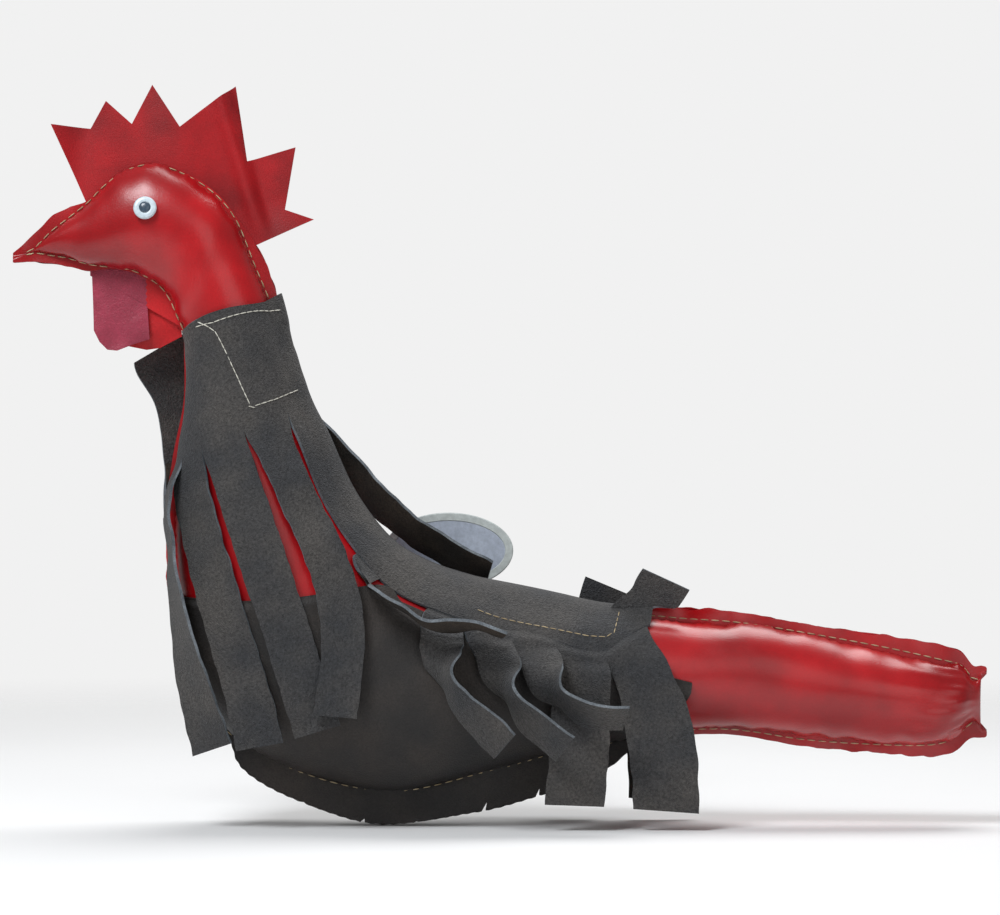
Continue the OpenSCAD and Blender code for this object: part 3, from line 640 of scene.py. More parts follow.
def panel_bumps(S, A, top_run, low_run, seed):
    """Sideways bumps in millimetres over the grid of stations and angles."""
    TR, LR = top_run[:, None], low_run[:, None]
    near_top = np.exp(-(A / 16) ** 2)
    near_low = np.exp(-((180 - A) / 16) ** 2)
    pucker = -0.9 * (near_top * (0.5 + 0.5 * np.cos(2 * math.pi * TR / PITCH))
                     + near_low * (0.5 + 0.5 * np.cos(2 * math.pi * LR / PITCH)))
    fan_top = 0.8 * waves(TR, A * 0.12, 17, seed + 1) * np.exp(-(A / 38) ** 2)
    fan_low = 0.8 * waves(LR, A * 0.12, 17, seed + 2) * np.exp(-((180 - A) / 38) ** 2)
    lumps = 0.9 * waves(TR, A * 0.55, 75, seed + 3)
    tail_fold = 1.3 * waves(TR, A * 1.2, 26, seed + 4) * ramp01(S, 25.5, 28.5)
    ends = ramp01(S, 0.2, 3.0) * (1 - 0.95 * ramp01(S, 27.9, 29.2))
    uncovered = 1 - ramp01(S, 9.6, 10.6) * (1 - ramp01(S, 22.6, 24))
    bump = (pucker + (fan_top + fan_low + lumps) * uncovered + tail_fold) * ends
    return np.minimum(bump, 1.6)


def panel_grids(side, seed):
    """The outer and the inner face of one side panel."""
    s = np.linspace(0, LAST, ROWS)
    mid, up, reach, _, lift_top, lift_low, r = section(s)
    top_width = edge_width(s, r[:, 5])
    low_width = edge_width(s, r[:, 6])
    top_run = run_length(mid + up * reach[:, None])
    low_run = run_length(mid - up * reach[:, None])
    S, A = np.meshgrid(s, np.linspace(0, 180, ARC), indexing="ij")
    M, U, R, H, LT, LL, _ = section(S)
    rad = np.radians(A)
    lift = LL + (LT - LL) * (1 + np.cos(rad)) / 2
    bump = panel_bumps(S, A, top_run, low_run, seed)
    closing = 1 - np.sqrt(1 - np.clip((S - 28.8) / 1.2, 0, 1) ** 2)
    faces = []
    for depth in (0.0, PANEL_T):
        reach_in = np.maximum(R - depth, R * 0.6) + bump * np.abs(np.cos(rad))
        y = lift + PANEL_T - depth + np.maximum(0, H - lift - PANEL_T) * np.sin(rad) + bump * np.sin(rad)
        y = y * (1 - closing) + (lift + PANEL_T - depth) * closing
        body = M + U * (reach_in * np.cos(rad))[..., None]
        body[..., 1] = -y
        body[..., 0] -= TAIL_PULL_IN * closing * np.maximum(np.sin(rad), 0) ** 0.35
        top = seam_edge(s, lambda out: mid + up * (reach + out)[:, None], top_width, top_run,
                        lift_top + PANEL_T - depth, (77, seed + 5), side)
        low = seam_edge(s, lambda out: mid - up * (reach + out)[:, None], low_width, low_run,
                        lift_low + PANEL_T - depth, (78, seed + 6), side)
        faces.append(np.concatenate([np.stack(top[::-1], 1), body, np.stack(low, 1)], 1))
    return faces


for name, side, seed in (("left_body", 1, 11), ("right_body", -1, 51)):
    outer, inner = panel_grids(side, seed)
    panel = shell(name, to_side(outer, side), to_side(inner, side), [RED])
    panel.data.polygons.foreach_set("material_index", np.zeros(len(panel.data.polygons), np.int32))
    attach(panel, "bird")
    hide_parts(name + "_panel")
    print(name, len(panel.data.polygons), "faces")

# %% [markdown]
# ## The filling
# Three wads of fibre fill the head, the belly and the tail. They are hidden,
# but they are what makes the leather round. A wad could be a plain copy of the
# body, shrunk, but stuffing is lumpy, so waves change how far each is drawn in.


# %% Filling
WAD_ROWS = 60
WAD_TURNS = 36
WAD_SHRINK = 3.2


def wad(name, start, stop, node, seed):
    s = np.linspace(start, stop, WAD_ROWS)
    a = np.linspace(0, 360, WAD_TURNS + 1)[:-1]
    S, A = np.meshgrid(s, a, indexing="ij")
    M, U, R, H, _, _, _ = section(S)
    rad = np.radians(A)
    shrink = WAD_SHRINK + 0.5 * waves(S * 30, A, 30, seed)
    points = M + U * (np.maximum(0.6, R - shrink - 0.6) * np.cos(rad))[..., None]
    points[..., 1] = -np.maximum(0.6, H - shrink) * np.sin(rad)
    flat = points.reshape(-1, 3) * MM
    faces = grid_faces(WAD_ROWS, WAD_TURNS, wrap=True)
    first_cap = tuple(range(WAD_TURNS - 1, -1, -1))
    last_cap = tuple((WAD_ROWS - 1) * WAD_TURNS + j for j in range(WAD_TURNS))
    faces += [first_cap, last_cap]
    if signed_volume(flat, faces) < 0:
        faces = [f[::-1] for f in faces]
    piece = add_mesh(name, flat, faces, [WADDING])
    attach(piece, "bird")
    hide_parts(node)
    print(name, len(piece.data.polygons), "faces")
    return piece


wad("head_wad", 1.8, 11.3, "head_filling", 3)
wad("belly_wad", 11.5, 21.3, "body_filling", 4)
wad("tail_wad", 21.5, 28.6, "tail_filling", 5)

# %% [markdown]
# ## Cut leaves
# The comb and the wattles are flat leaves of leather, cut with shears. A grid
# would leave steps along the jagged cuts, so a leaf is drawn as an outline,
# filled with small triangles, folded sideways a little and given its thickness.


# %% Leaves
def dense(outline, step):
    points = []
    n = len(outline)
    for i in range(n):
        p, q = np.array(outline[i], float), np.array(outline[(i + 1) % n], float)
        count = max(1, int(np.linalg.norm(q - p) / step))
        points += [tuple(p + (q - p) * k / count) for k in range(count)]
    return points


def leaf(name, outline, bend, thickness, materials, step=1.8):
    """A cut leaf in the X-Z plane; bend(x, z) gives its sideways place in mm."""
    edge = dense(outline, step)
    xs, zs = zip(*edge)
    inside = []
    for row, z in enumerate(np.arange(min(zs), max(zs), step * 0.87)):
        for x in np.arange(min(xs) + (row % 2) * step / 2, max(xs), step):
            away = min((x - p) ** 2 + (z - q) ** 2 for p, q in edge)
            if away > (step * 0.55) ** 2:
                inside.append((x, z))
    points = [Vector(p) for p in edge + inside]
    loop = [(i, (i + 1) % len(edge)) for i in range(len(edge))]
    made = geometry.delaunay_2d_cdt(points, loop, [list(range(len(edge)))], 1, 1e-5)
    flat = np.array([(p.x, p.y) for p in made[0]])
    faces = [tuple(f) for f in made[2]]
    y = bend(flat[:, 0], flat[:, 1])
    n = len(flat)
    near = np.stack([flat[:, 0], y - thickness / 2, flat[:, 1]], 1)
    far = np.stack([flat[:, 0], y + thickness / 2, flat[:, 1]], 1)
    count = {}
    for f in faces:
        for k in range(len(f)):
            e = (f[k], f[(k + 1) % len(f)])
            count[frozenset(e)] = count.get(frozenset(e), []) + [e]
    rim = [v[0] for v in count.values() if len(v) == 1]
    solid = faces + [tuple(i + n for i in f[::-1]) for f in faces]
    solid += [(b, a, a + n, b + n) for a, b in rim]
    which = [0] * (2 * len(faces)) + [len(materials) - 1] * len(rim)
    both = np.concatenate([near, far]) * MM
    if signed_volume(both, solid) < 0:
        solid = [f[::-1] for f in solid]
    return add_mesh(name, both, solid, materials, which)


def top_seam(s):
    r = along(STATIONS, s)
    return np.stack([r[..., 0], r[..., 1]], -1)


def low_seam(s):
    r = along(STATIONS, s)
    return np.stack([r[..., 2], r[..., 3]], -1)


def up_xz(s):
    d = top_seam(s) - low_seam(s)
    return d / np.linalg.norm(d, axis=-1)[..., None]


print("crown seam starts at", top_seam(np.array(0.0)))

# %% [markdown]
# ## The size each sheet was cut to
# Leather and suede hardly stretch, so the flat piece on the cutting table has
# nearly the area of the finished one. The helpers measure a sewn sheet along
# and across its rows and print that flat size.


# %% Cut sizes
def rows_area(rows):
    rows = np.stack(rows)
    down = np.linalg.norm(np.diff(rows, axis=0), axis=-1)
    across = np.linalg.norm(np.diff(rows, axis=1), axis=-1)
    return float(np.sum((down[:, 1:] + down[:, :-1]) / 2 * (across[1:] + across[:-1]) / 2))


def sheet_of_rows(piece, groups, middle):
    """Print the flat size of a sewn sheet from groups of rows of points across it."""
    wide = max(float(run_length(row)[-1]) for rows in groups for row in rows) * MM
    long = float(run_length(np.array(middle))[-1]) * MM
    area = sum(rows_area(rows) for rows in groups) * MM * MM
    area = min(area, wide * long)
    print(piece.name, "flat", round(wide, 4), "x", round(long, 4), "m, area", round(area, 5), "m2")


# %% [markdown]
# ## The comb
# The comb is one jagged leaf of leather that stands in the crown seam. It
# leans a little to and fro, and it has one fold near its back.

# %% Comb
COMB_TIPS = [
    (-225, 345), (-233, 363), (-213, 361), (-205, 375.5), (-191.5, 363.5), (-181, 384),
    (-166.5, 362), (-137.5, 383), (-131.5, 344), (-106.5, 351.5), (-112, 319), (-97, 314),
]
comb_s = np.arange(10.6, 3.99, -0.3)
comb_base = [tuple(p) for p in (top_seam(comb_s) - up_xz(comb_s) * 2)]


def comb_bend(x, z):
    base = 336 - 0.016 * (x + 178) ** 2
    rise = np.clip((z - base) / 45, 0, 1)
    lean = 3.0 * np.sin(x / 17 + 0.6) + 1.6 * np.sin(x / 7.5)
    first = -5.0 * ramp01(-x, 214, 232) * rise
    line = x + 131 - (344 - z) * 0.29
    fold = 3.6 * ramp01(line, -3.5, 3.5) - 2.4 * np.exp(-((line + 5) / 4.0) ** 2)
    return rise**1.4 * lean + first + fold * ramp01(z, 296, 325)


comb = leaf("comb_leaf", COMB_TIPS + comb_base, comb_bend, COMB_T, [COMB_RED])
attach(comb, "bird")
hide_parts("comb")
print("comb", len(comb.data.polygons), "faces")

# %% [markdown]
# ## The wattles
# Two lobes hang below the beak from a tab that is sewn into the throat seam.
# The tab is one flat leaf. Each lobe is a leaf of its own that bows outwards
# towards its tip.

# %% Wattles
HANG_FRONT, HANG_BACK = np.array([-213, 284.5]), np.array([-165, 257.5])
# The tab's painted sky reflection stops at this x in metres, and behind it the tab is plain red.
PAINTED_REFLECTION_TO = -0.1835
LOBE_LEFT = [
    (-211.5, 272), (-211, 256), (-208, 250), (-204, 246), (-199, 245.5), (-190, 249), (-182, 251.5),
]
LOBE_RIGHT = [(-205, 262), (-201, 252), (-194, 248), (-184, 246), (-177, 247), (-165.5, 253)]


def hang(t):
    return HANG_FRONT + (HANG_BACK - HANG_FRONT) * t


root_s = np.arange(11.0, 4.09, -0.3)
root_line = [tuple(p) for p in (low_seam(root_s) + up_xz(root_s) * 2)]
root_outline = root_line + [tuple(hang(0)), tuple(hang(1))]
root = leaf("wattle_tab", root_outline, lambda x, z: 0 * x, WATTLE_T * 2, [WATTLE_PAINTED_REFLECTION])
# The front of the tab takes the painted sky reflection, and the rear takes the plain red.
root.data.materials.append(WATTLE_BACK)
for face in root.data.polygons:
    face.material_index = 1 if face.center.x > PAINTED_REFLECTION_TO else 0
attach(root, "bird")
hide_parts("wattle_root")


def lobe_bend(side, seed):
    def bend(x, z):
        down = np.clip((275 - z) / 30, 0, 1)
        return side * (0.9 + 1.2 * down + 0.9 * down * waves(x, z, 22, seed))
    return bend


# The front lobe wears the painted sky reflection, and the rear lobe the plain red.
for name, points, span, side, material, seed in (
    ("left_wattle", LOBE_LEFT, (0.02, 0.62), -1, WATTLE_PAINTED_REFLECTION, 21),
    ("right_wattle", LOBE_RIGHT, (0.16, 0.98), 1, WATTLE_BACK, 22),
):
    outline = points + [tuple(hang(span[1]) + (0, 0.6)), tuple(hang(span[0]) + (0, 0.6))]
    lobe = leaf(name + "_lobe", outline, lobe_bend(side, seed), WATTLE_T, [material])
    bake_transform(lobe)
    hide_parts(name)
print("wattles made")

# %% [markdown]
# ## Eyes
# Each eye is a pale button with a slate middle. A squashed ball would do from
# afar, but a turned profile also gives the rounded rim, the dish round the
# pupil and the shank that passes through the leather. A washer holds it inside.

# %% Eyes
EYE_STATION = 6.83
EYE_ANGLE = 80.0
EYE_TILT = math.radians(14)


def lathe(name, profile, where, axis, side_axis, up_axis, materials, which, turns=48):
    rows = []
    for r, h in profile:
        ring = [where + side_axis * r * math.cos(t) + up_axis * r * math.sin(t) + axis * h
                for t in np.linspace(0, 2 * math.pi, turns, endpoint=False)]
        rows.append(ring)
    points = np.array(rows).reshape(-1, 3)
    faces = grid_faces(len(profile), turns, wrap=True)
    ids = [which[i] for i in range(len(profile) - 1) for _ in range(turns)]
    faces += [tuple(range(turns - 1, -1, -1)), tuple((len(profile) - 1) * turns + j for j in range(turns))]
    ids += [which[0], which[-1]]
    points = points * MM
    if signed_volume(points, faces) < 0:
        faces = [f[::-1] for f in faces]
    return add_mesh(name, points, faces, materials, ids)


EYE_PROFILE = [(2.0, -6.0), (2.0, 0.85), (5.7, 0.9), (6.0, 1.2), (6.0, 2.0), (5.7, 2.6), (5.1, 2.95),
               (3.9, 3.05), (3.2, 2.95), (2.8, 2.9)]
PUPIL_PROFILE = [(3.0, 2.5), (3.0, 3.1), (2.7, 3.5), (2.0, 3.85), (1.0, 4.0), (0.15, 4.02)]
for name, side in (("left", 1), ("right", -1)):
    at = skin(EYE_STATION, EYE_ANGLE, 0)
    axis = np.array([0, -math.cos(EYE_TILT), math.sin(EYE_TILT)])
    high = np.array([0, math.sin(EYE_TILT), math.cos(EYE_TILT)])
    flip = np.array([1, side, 1])
    at, axis, high = at * flip, axis * flip, high * flip
    along_x = np.array([1.0, 0, 0])
    disc = lathe(name + "_eye_button", EYE_PROFILE, at, axis, along_x, high, [EYE_WHITE], [0] * 10)
    dot = lathe(name + "_eye_dot", PUPIL_PROFILE, at, axis, along_x, high, [EYE_SLATE], [0] * 6)
    for piece, node, slot in ((disc, name + "_eye", "eye_white"), (dot, name + "_pupil", "pupil")):
        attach(piece, "bird")
        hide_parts(node)
for node in ("left_eye_washer", "right_eye_washer"):
    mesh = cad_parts[node].data
    mesh.materials.clear()
    mesh.materials.append(WASHER)
print("eyes at", at.round(1))

# %% [markdown]
# ## The belly cover
# A dark hide wraps the belly from both sides and is sewn below it, where a wide
# edge with small cuts hangs free. It could be a thicker patch of the body mesh,
# but a hide of its own has a real rim. A table gives, for rows from the breast
# to the rump, the station, the angles where the hide starts and stops, and how
# much of the loose edge hangs below the stitches.

# %% Belly cover
COVER = np.array([
    [16.7, 168, 180, 0.01], [17, 128, 180, 0.01], [17.9, 52, 180, 0.02], [18.6, 50.5, 180, 0.1],
    [19, 50.5, 180, 0.52], [20, 52.5, 180, 0.803], [21, 58, 180, 1], [22, 68, 180, 0.93],
    [22.45, 78, 180, 0.6], [22.8, 86, 172, 0.01], [23.3, 96, 106, 0.01],
])
BELLY_EDGE = 24.0
COVER_GAP = GAP * 2.2
COVER_TUCK = 0.6
CUTS = (-98, -68, -42, -10, 17)
CUT_DEPTH, CUT_HALF = 8.0, 0.55
COVER_ROWS = 520
COVER_ARC = 34
COVER_EDGE = 12


def cover_grids(side, seed):
    """The outer and the inner face of one half of the cover."""
    k = np.linspace(0, len(COVER) - 1, COVER_ROWS)
    row = along(COVER, k)
    s = row[:, 0]
    mid, up, reach, half, lift_top, lift_low, _ = section(s)
    share = np.linspace(0, 1, COVER_ARC)
    A = row[:, 1:2] + (np.minimum(180, row[:, 2:3]) - row[:, 1:2]) * share
    rad = np.radians(A)
    M, U, R, H = mid[:, None], up[:, None], reach[:, None], half[:, None]
    lift = lift_low[:, None] + (lift_top - lift_low)[:, None] * (1 + np.cos(rad)) / 2 + PANEL_T
    run = run_length(mid - up * reach[:, None])[:, None]
    lumps = 0.5 + 0.5 * waves(run, A * 0.7, 60, seed) * 0.8
    pucker = 0.35 * np.exp(-((180 - A) / 10) ** 2) * np.cos(2 * math.pi * run / PITCH)
    bump = np.maximum(0, lumps - pucker)
    full = (row[:, 2] > 179).astype(float)
    low_x = (mid - up * reach[:, None])[:, 0]
    drop = 0.4 + full * np.maximum(0, row[:, 3]) * BELLY_EDGE
    notch = sum(CUT_DEPTH * np.clip(1 - np.abs(low_x - 0.45 * drop - x) / CUT_HALF, 0, 1) for x in CUTS)
    drop = np.maximum(0.4, drop - notch * ramp01(drop, 8, 14))
    layers = []
    lift = np.broadcast_to(lift, bump.shape)
    tucked = COVER_TUCK * (1 - ramp01(share * (row[:, 2:3] - row[:, 1:2]), 2, 14))
    bump = bump * (1 - tucked / COVER_TUCK)
    for out in (COVER_GAP + COVER_T, COVER_GAP):
        reach_out = R + out - tucked + bump * 0.6
        y = lift + out - tucked + bump + np.maximum(0, H - lift) * np.sin(rad)
        body = M + U * (reach_out * np.cos(rad))[..., None]
        body[..., 1] = -y
        last = body[:, -1].copy()
        last[:, 1] = -(lift[:, -1] + out + np.mean(bump[:, -1]) * ramp01(drop, 0.5, 4))
        hem = []
        for j in range(1, COVER_EDGE + 1):
            f = j / COVER_EDGE
            p = last - up * (drop * f)[:, None]
            p[:, 1] -= side * 1.2 * waves(run[:, 0], 0 * run[:, 0], 48, 91) * f * ramp01(drop, 4, 12)
            hem.append(p)
        layers.append(np.concatenate([body, np.stack(hem, 1)], 1))
    return layers


for name, side, seed in (("left_belly", 1, 31), ("right_belly", -1, 32)):
    outer, inner = cover_grids(side, seed)
    cover = shell(name, to_side(outer, side), to_side(inner, side), [BELLY, SUEDE_BACK, BELLY])
    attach(cover, "bird")
    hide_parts(name + "_cover")
    sheet_of_rows(cover, [list(outer)], outer[:, outer.shape[1] // 2])
    print(name, len(cover.data.polygons), "faces")

# %% [markdown]
# ## The suede cape
# One hide is wrapped round the neck as a collar, with a loose flap past the
# right side, and runs down the back as a strap that widens over the rump. A
# cloth simulation could drape it, but the cuts would no longer meet the
# strips. It is laid on the skin row by row instead, a little off the body, and
# tents over the seam edge that stands up along the back. Collar rows give a
# station and the flap's reach, strap rows a station and the angles it spans.

# %% Cape
COLLAR = np.array([[11.85, 47], [12.4, 46], [13, 39], [13.6, 35], [14.15, 33]], float)
STRAP = np.array([
    [14.15, 44, 16], [15, 43, 15], [16, 42, 15], [17, 43, 15], [17.8, 45, 26], [18.5, 47, 46],
    [19.3, 48, 48], [20, 50, 50], [20.8, 52, 52], [21.4, 60, 60], [22, 65, 65], [22.3, 50, 50],
    [22.6, 32, 32],
], float)
NEAR_END, FLAP_FROM = 165, 110
STRAP_LEFT, STRAP_RIGHT = 44, -16
FINE = 4
NEAR_STEPS = 8 * FINE
STRAP_STEPS = 8 * FINE
FAR_STEPS = 6 * FINE
FLAP_STEPS = 2 * FINE
ROWS_A_MARK = 8


def top_edge(s):
    return np.maximum(0, along(STATIONS, s)[..., 5]) * SEAM_EDGE


def cape_point(s, a, out):
    tent = (top_edge(s) + GAP) * np.clip(1.5 - np.abs(a) / 20, 0, 1)
    return skin(s, a, GAP * 2 + tent + out)


def blend_list(a, b, t):
    return a + (b - a) * np.asarray(t, float)


def collar_wrinkle(s, a):
    return np.maximum(-0.3, 0.35 * waves(s * 24 + 0 * a, a * 0.5, 26, 61) * ramp01(s, 12.0, 12.8)
                      * ramp01(-np.asarray(s), -14.1, -13.4))


def strap_wrinkle(s, a):
    return np.maximum(-0.3, 0.4 * waves(s * 26 + 0 * a, a * 0.6, 40, 62) * ramp01(s, 14.2, 15))


def collar_rise(s, a):
    """The collar sits higher on the throat than on the nape."""
    return 1.0 * ramp01(np.abs(a), 25, 165) * (COLLAR[-1, 0] - s) / (COLLAR[-1, 0] - COLLAR[0, 0])


def collar_row(s, flap, out):
    near = blend_list(NEAR_END, STRAP_LEFT, np.arange(0, NEAR_STEPS) / NEAR_STEPS)
    back = blend_list(STRAP_LEFT, STRAP_RIGHT, np.arange(0, STRAP_STEPS + 1) / STRAP_STEPS)
    far = blend_list(STRAP_RIGHT, -FLAP_FROM, np.arange(1, FAR_STEPS + 1) / FAR_STEPS)
    a = np.concatenate([near, back, far])
    higher = collar_rise(s, a)
    pts = cape_point(s - higher, a, out + collar_wrinkle(s, a))
    edge = cape_point(s - higher[-1], -FLAP_FROM, out + collar_wrinkle(s, a)[-1])
    up = section(np.array(s))[1]
    extra = []
    for f in np.arange(1, FLAP_STEPS + 1) / FLAP_STEPS:
        reach = flap * f
        extra.append(edge - up * reach - np.array([0, reach * 0.08, 0]))
    return np.concatenate([pts, np.array(extra)])


def strap_row(s, left, right, out):
    a = blend_list(left, -right, np.arange(0, STRAP_STEPS + 1) / STRAP_STEPS)
    return cape_point(s, a, out + strap_wrinkle(s, a))


def cape_rows(out):
    rows = []
    for k in np.linspace(0, len(COLLAR) - 1, (len(COLLAR) - 1) * ROWS_A_MARK + 1):
        s, flap = along(COLLAR, k)
        rows.append(collar_row(float(s), float(flap), out))
    neck_n = len(rows)
    for k in np.linspace(0, len(STRAP) - 1, (len(STRAP) - 1) * ROWS_A_MARK + 1)[1:]:
        s, left, right = along(STRAP, k)
        rows.append(strap_row(float(s), float(left), float(right), out))
    return rows, neck_n


print("collar", len(COLLAR), "marks, strap", len(STRAP), "marks")

# %% [markdown]
# ## Sewing the cape's rows into one hide
# The collar's rows are wider than the strap's, so that the hide isn't one plain
# grid. A patch of four points is kept where both rows have it, and a rim is
# added along every patch side that has no neighbour. The flap shows its inner
# face, so that wears the suede of the outside.


# %% Cape hide
def build_cape():
    outer, neck_n = cape_rows(SUEDE_T)
    inner, _ = cape_rows(0.0)
    start = NEAR_STEPS
    wide = len(outer[0])
    flap_from = wide - 1 - 5 * FINE
    starts = []
    total = 0
    for row in outer:
        starts.append(total)
        total += len(row)
    points = np.concatenate([np.concatenate(outer), np.concatenate(inner)]) * MM

    def spot(i, j):
        return starts[i] + (j if i < neck_n else j - start)

    def patch(i, j):
        if i < 0 or j < 0 or i >= len(outer) - 1:
            return False
        return j < wide - 1 if i < neck_n - 1 else start <= j < start + STRAP_STEPS

    faces, which = [], []
    for i in range(len(outer) - 1):
        for j in range(wide - 1):
            if not patch(i, j):
                continue
            a, b, c, d = spot(i, j), spot(i, j + 1), spot(i + 1, j + 1), spot(i + 1, j)
            faces += [(a, b, c, d), (d + total, c + total, b + total, a + total)]
            which += [0, 0 if i < neck_n - 1 and j >= flap_from else 1]
            for near, u, v in ((patch(i - 1, j), a, b), (patch(i, j + 1), b, c),
                               (patch(i + 1, j), c, d), (patch(i, j - 1), d, a)):
                if not near:
                    faces.append((v, u, u + total, v + total))
                    which.append(2)
    if signed_volume(points, faces) < 0:
        faces = [f[::-1] for f in faces]
    return add_mesh("cape_hide", points, faces, [SUEDE, SUEDE_BACK, SUEDE_EDGE], which)


cape = build_cape()
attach(cape, "bird")
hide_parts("cape")
cape_lines, collar_count = cape_rows(SUEDE_T)
collar_lines = cape_lines[:collar_count]
last_collar = collar_lines[-1][NEAR_STEPS:NEAR_STEPS + STRAP_STEPS + 1]
strap_lines = [last_collar] + cape_lines[collar_count:]
middle = [row[NEAR_STEPS + STRAP_STEPS // 2] for row in collar_lines]
middle += [row[STRAP_STEPS // 2] for row in strap_lines[1:]]
sheet_of_rows(cape, [collar_lines, strap_lines], middle)
print("cape", len(cape.data.polygons), "faces")

# %% [markdown]
# ## The feather strips
# The feathers are strips cut from the same hide. Hair or cloth tools could
# scatter them, but here every strip is a mesh of its own. Each follows a
# listed path. A row of it is the middle of the strip, the direction of its
# width, and a share of its full width, so that it can hang, twist or curl.
# The table below the paths gives the full widths.

# %% Strip paths
CHEST_L = [
    [-170.5, 17, 185, 0.2, 1, 0, 1], [-171, 19, 160, 0.2, 1, 0, 1], [-168, 24, 128, 0.3, 1, 0, 1],
    [-162.5, 28, 95, 0.5, 0.85, 0, 1], [-155, 31, 66, 0.75, 0.65, 0.1, 1],
    [-147.5, 31, 40, 0.85, 0.5, 0.15, 1],
]
NECK_1_L = [
    [-161, 20.5, 187, 0.7, 0.65, 0.3, 1], [-158, 27, 169, 0.75, 0.6, 0.2, 1],
    [-152, 32.5, 145, 0.8, 0.5, 0.2, 1], [-145, 37, 121, 0.85, 0.4, 0.2, 1],
    [-136.5, 39.5, 93, 0.9, 0.3, 0.2, 1], [-128, 40.5, 65, 0.95, 0.2, 0.2, 1],
    [-123, 40.5, 42, 0.95, 0.1, 0.3, 1],
]
NECK_2_L = [
    [-141, 31, 196, 0.9, 0.1, 0.35, 1], [-134, 35.5, 175, 0.95, 0.1, 0.3, 1],
    [-126, 40, 152, 0.95, 0.1, 0.3, 1], [-117, 44, 125, 0.95, 0.05, 0.3, 1],
    [-109, 46, 102, 0.95, 0, 0.3, 1], [-101.5, 46.5, 77, 0.95, 0, 0.3, 1],
    [-93, 46.5, 50, 0.92, 0, 0.38, 1],
]
NECK_3_L = [
    [-119, 29, 204, 0.8, -0.45, 0.35, 0.96], [-113, 32, 190, 0.8, -0.45, 0.35, 0.93],
    [-104, 36, 170, 0.85, -0.4, 0.3, 0.93], [-92.5, 41.5, 147, 0.9, -0.3, 0.3, 0.95],
    [-83, 46.5, 121, 0.95, -0.15, 0.15, 1], [-80, 50, 93, 1, 0, 0, 1],
    [-84, 52, 58, 0.96, 0, 0.27, 1],
]
SIDE_L = [
    [-69, 49, 127, 0.1, 1, 0, 1], [-60, 50, 120, 0.1, 1, 0, 1], [-50, 53, 112.5, 0, 1, 0.1, 1],
    [-38, 56.5, 105, 0, 1, 0.2, 0.95], [-24, 57.5, 103.5, 0, 1, 0.3, 0.92],
    [-11, 57.5, 103.5, 0, 1, 0.2, 0.92], [2, 57.5, 99.5, 0.1, 1, 0.1, 0.92],
]
WING_1 = [
    [-28, 36.2, 107, 0.95, 0, -0.35, 1], [-29.5, 44, 98, 0.95, 0.1, -0.2, 1],
    [-29.5, 51, 89, 0.8, 0.5, 0, 1], [-27.5, 56, 77, 0.3, 1, 0.2, 1],
    [-19, 58, 64, 0.4, 0.8, 0.45, 1], [-8, 60, 53, 0.5, 0.7, 0.5, 1], [2, 61, 43, 0.5, 0.7, 0.5, 1],
]
WING_2 = [
    [-5, 35.2, 99.5, 0.95, 0, -0.3, 0.92], [-2.5, 42.5, 91, 0.95, 0.1, -0.1, 0.96],
    [0.5, 49.5, 82, 0.85, 0.4, 0, 1], [4, 55, 70.5, 0.3, 0.95, 0.1, 1],
    [13, 57.5, 57.5, 0.4, 0.8, 0.4, 1], [24, 59, 48.5, 0.45, 0.75, 0.5, 1],
    [33, 60, 42, 0.5, 0.7, 0.5, 1],
]
WING_3 = [
    [18, 34.7, 94.2, 0.95, 0, -0.25, 0.85], [21, 42, 87, 0.95, 0.1, -0.1, 0.92],
    [23.5, 48.5, 78.5, 0.85, 0.4, 0, 1], [31, 54, 68.5, 0.4, 0.9, 0.1, 1],
    [42, 57.5, 61, 0.3, 0.85, 0.45, 1], [54, 59, 58.5, 0.25, 0.8, 0.55, 1],
    [64, 59, 58, 0.2, 0.8, 0.55, 1],
]
FLANK = [
    [42, 34.4, 89.5, 1, 0, -0.2, 0.9], [42, 38.7, 80, 1, 0, -0.1, 1], [41.5, 40, 68, 1, 0, 0, 1],
    [41, 40.8, 45, 1, 0, 0.05, 1], [38, 41, 12, 1, 0, 0.1, 1],
]
TAIL = [
    [68, 30.5, 91, 0.72, -0.28, 0.62, 0.72], [74, 35.5, 76, 0.85, -0.05, 0.5, 0.85],
    [80, 38, 57, 0.95, 0, 0.25, 1], [84, 39, 34, 1, 0, 0, 1], [85, 39, 9, 1, 0, 0.05, 1],
]
TOP_L = [
    [79, 9.5, 114, 0.94, 0, -0.33, 0.9], [82, 10.5, 120.5, 0.94, 0, -0.33, 1],
    [86, 12, 127, 0.94, 0, -0.33, 1],
]
CHEST_R = [
    [-173.5, 16, 184, 0.2, 1, 0, 0.6], [-173, 17, 160, 0.2, 1, 0, 0.65],
    [-170, 22.5, 128, 0.3, 1, 0, 0.75], [-163, 27, 98, 0.5, 0.85, 0, 0.85],
    [-160.5, 28, 76, 0.5, 0.85, 0, 0.85],
]
NECK_1_R = [
    [-162.5, 30, 187, 0.9, 0.1, 0.4, 0.74], [-162, 31, 172, 0.95, 0.15, 0.2, 0.84],
    [-157, 33.5, 146, 0.9, 0.3, 0.2, 0.95], [-150.5, 38, 120, 0.9, 0.3, 0.2, 0.95],
    [-143.5, 40.5, 94, 0.95, 0.2, 0.2, 1], [-138, 41, 66, 0.95, 0.1, 0.2, 1],
    [-134, 41, 42, 0.95, 0.1, 0.3, 1],
]
NECK_2_R = [
    [-143, 32, 193.5, 0.9, 0, 0.4, 0.75], [-138.5, 35.5, 175, 0.95, 0.1, 0.3, 0.82],
    [-131, 39.5, 150, 0.95, 0.1, 0.3, 0.95], [-124, 43.5, 122, 0.95, 0.05, 0.3, 1],
    [-117, 45.5, 95, 0.95, 0, 0.2, 1], [-112, 46, 68, 0.95, 0, 0.2, 1],
    [-108, 46, 44, 0.95, 0, 0.3, 1],
]
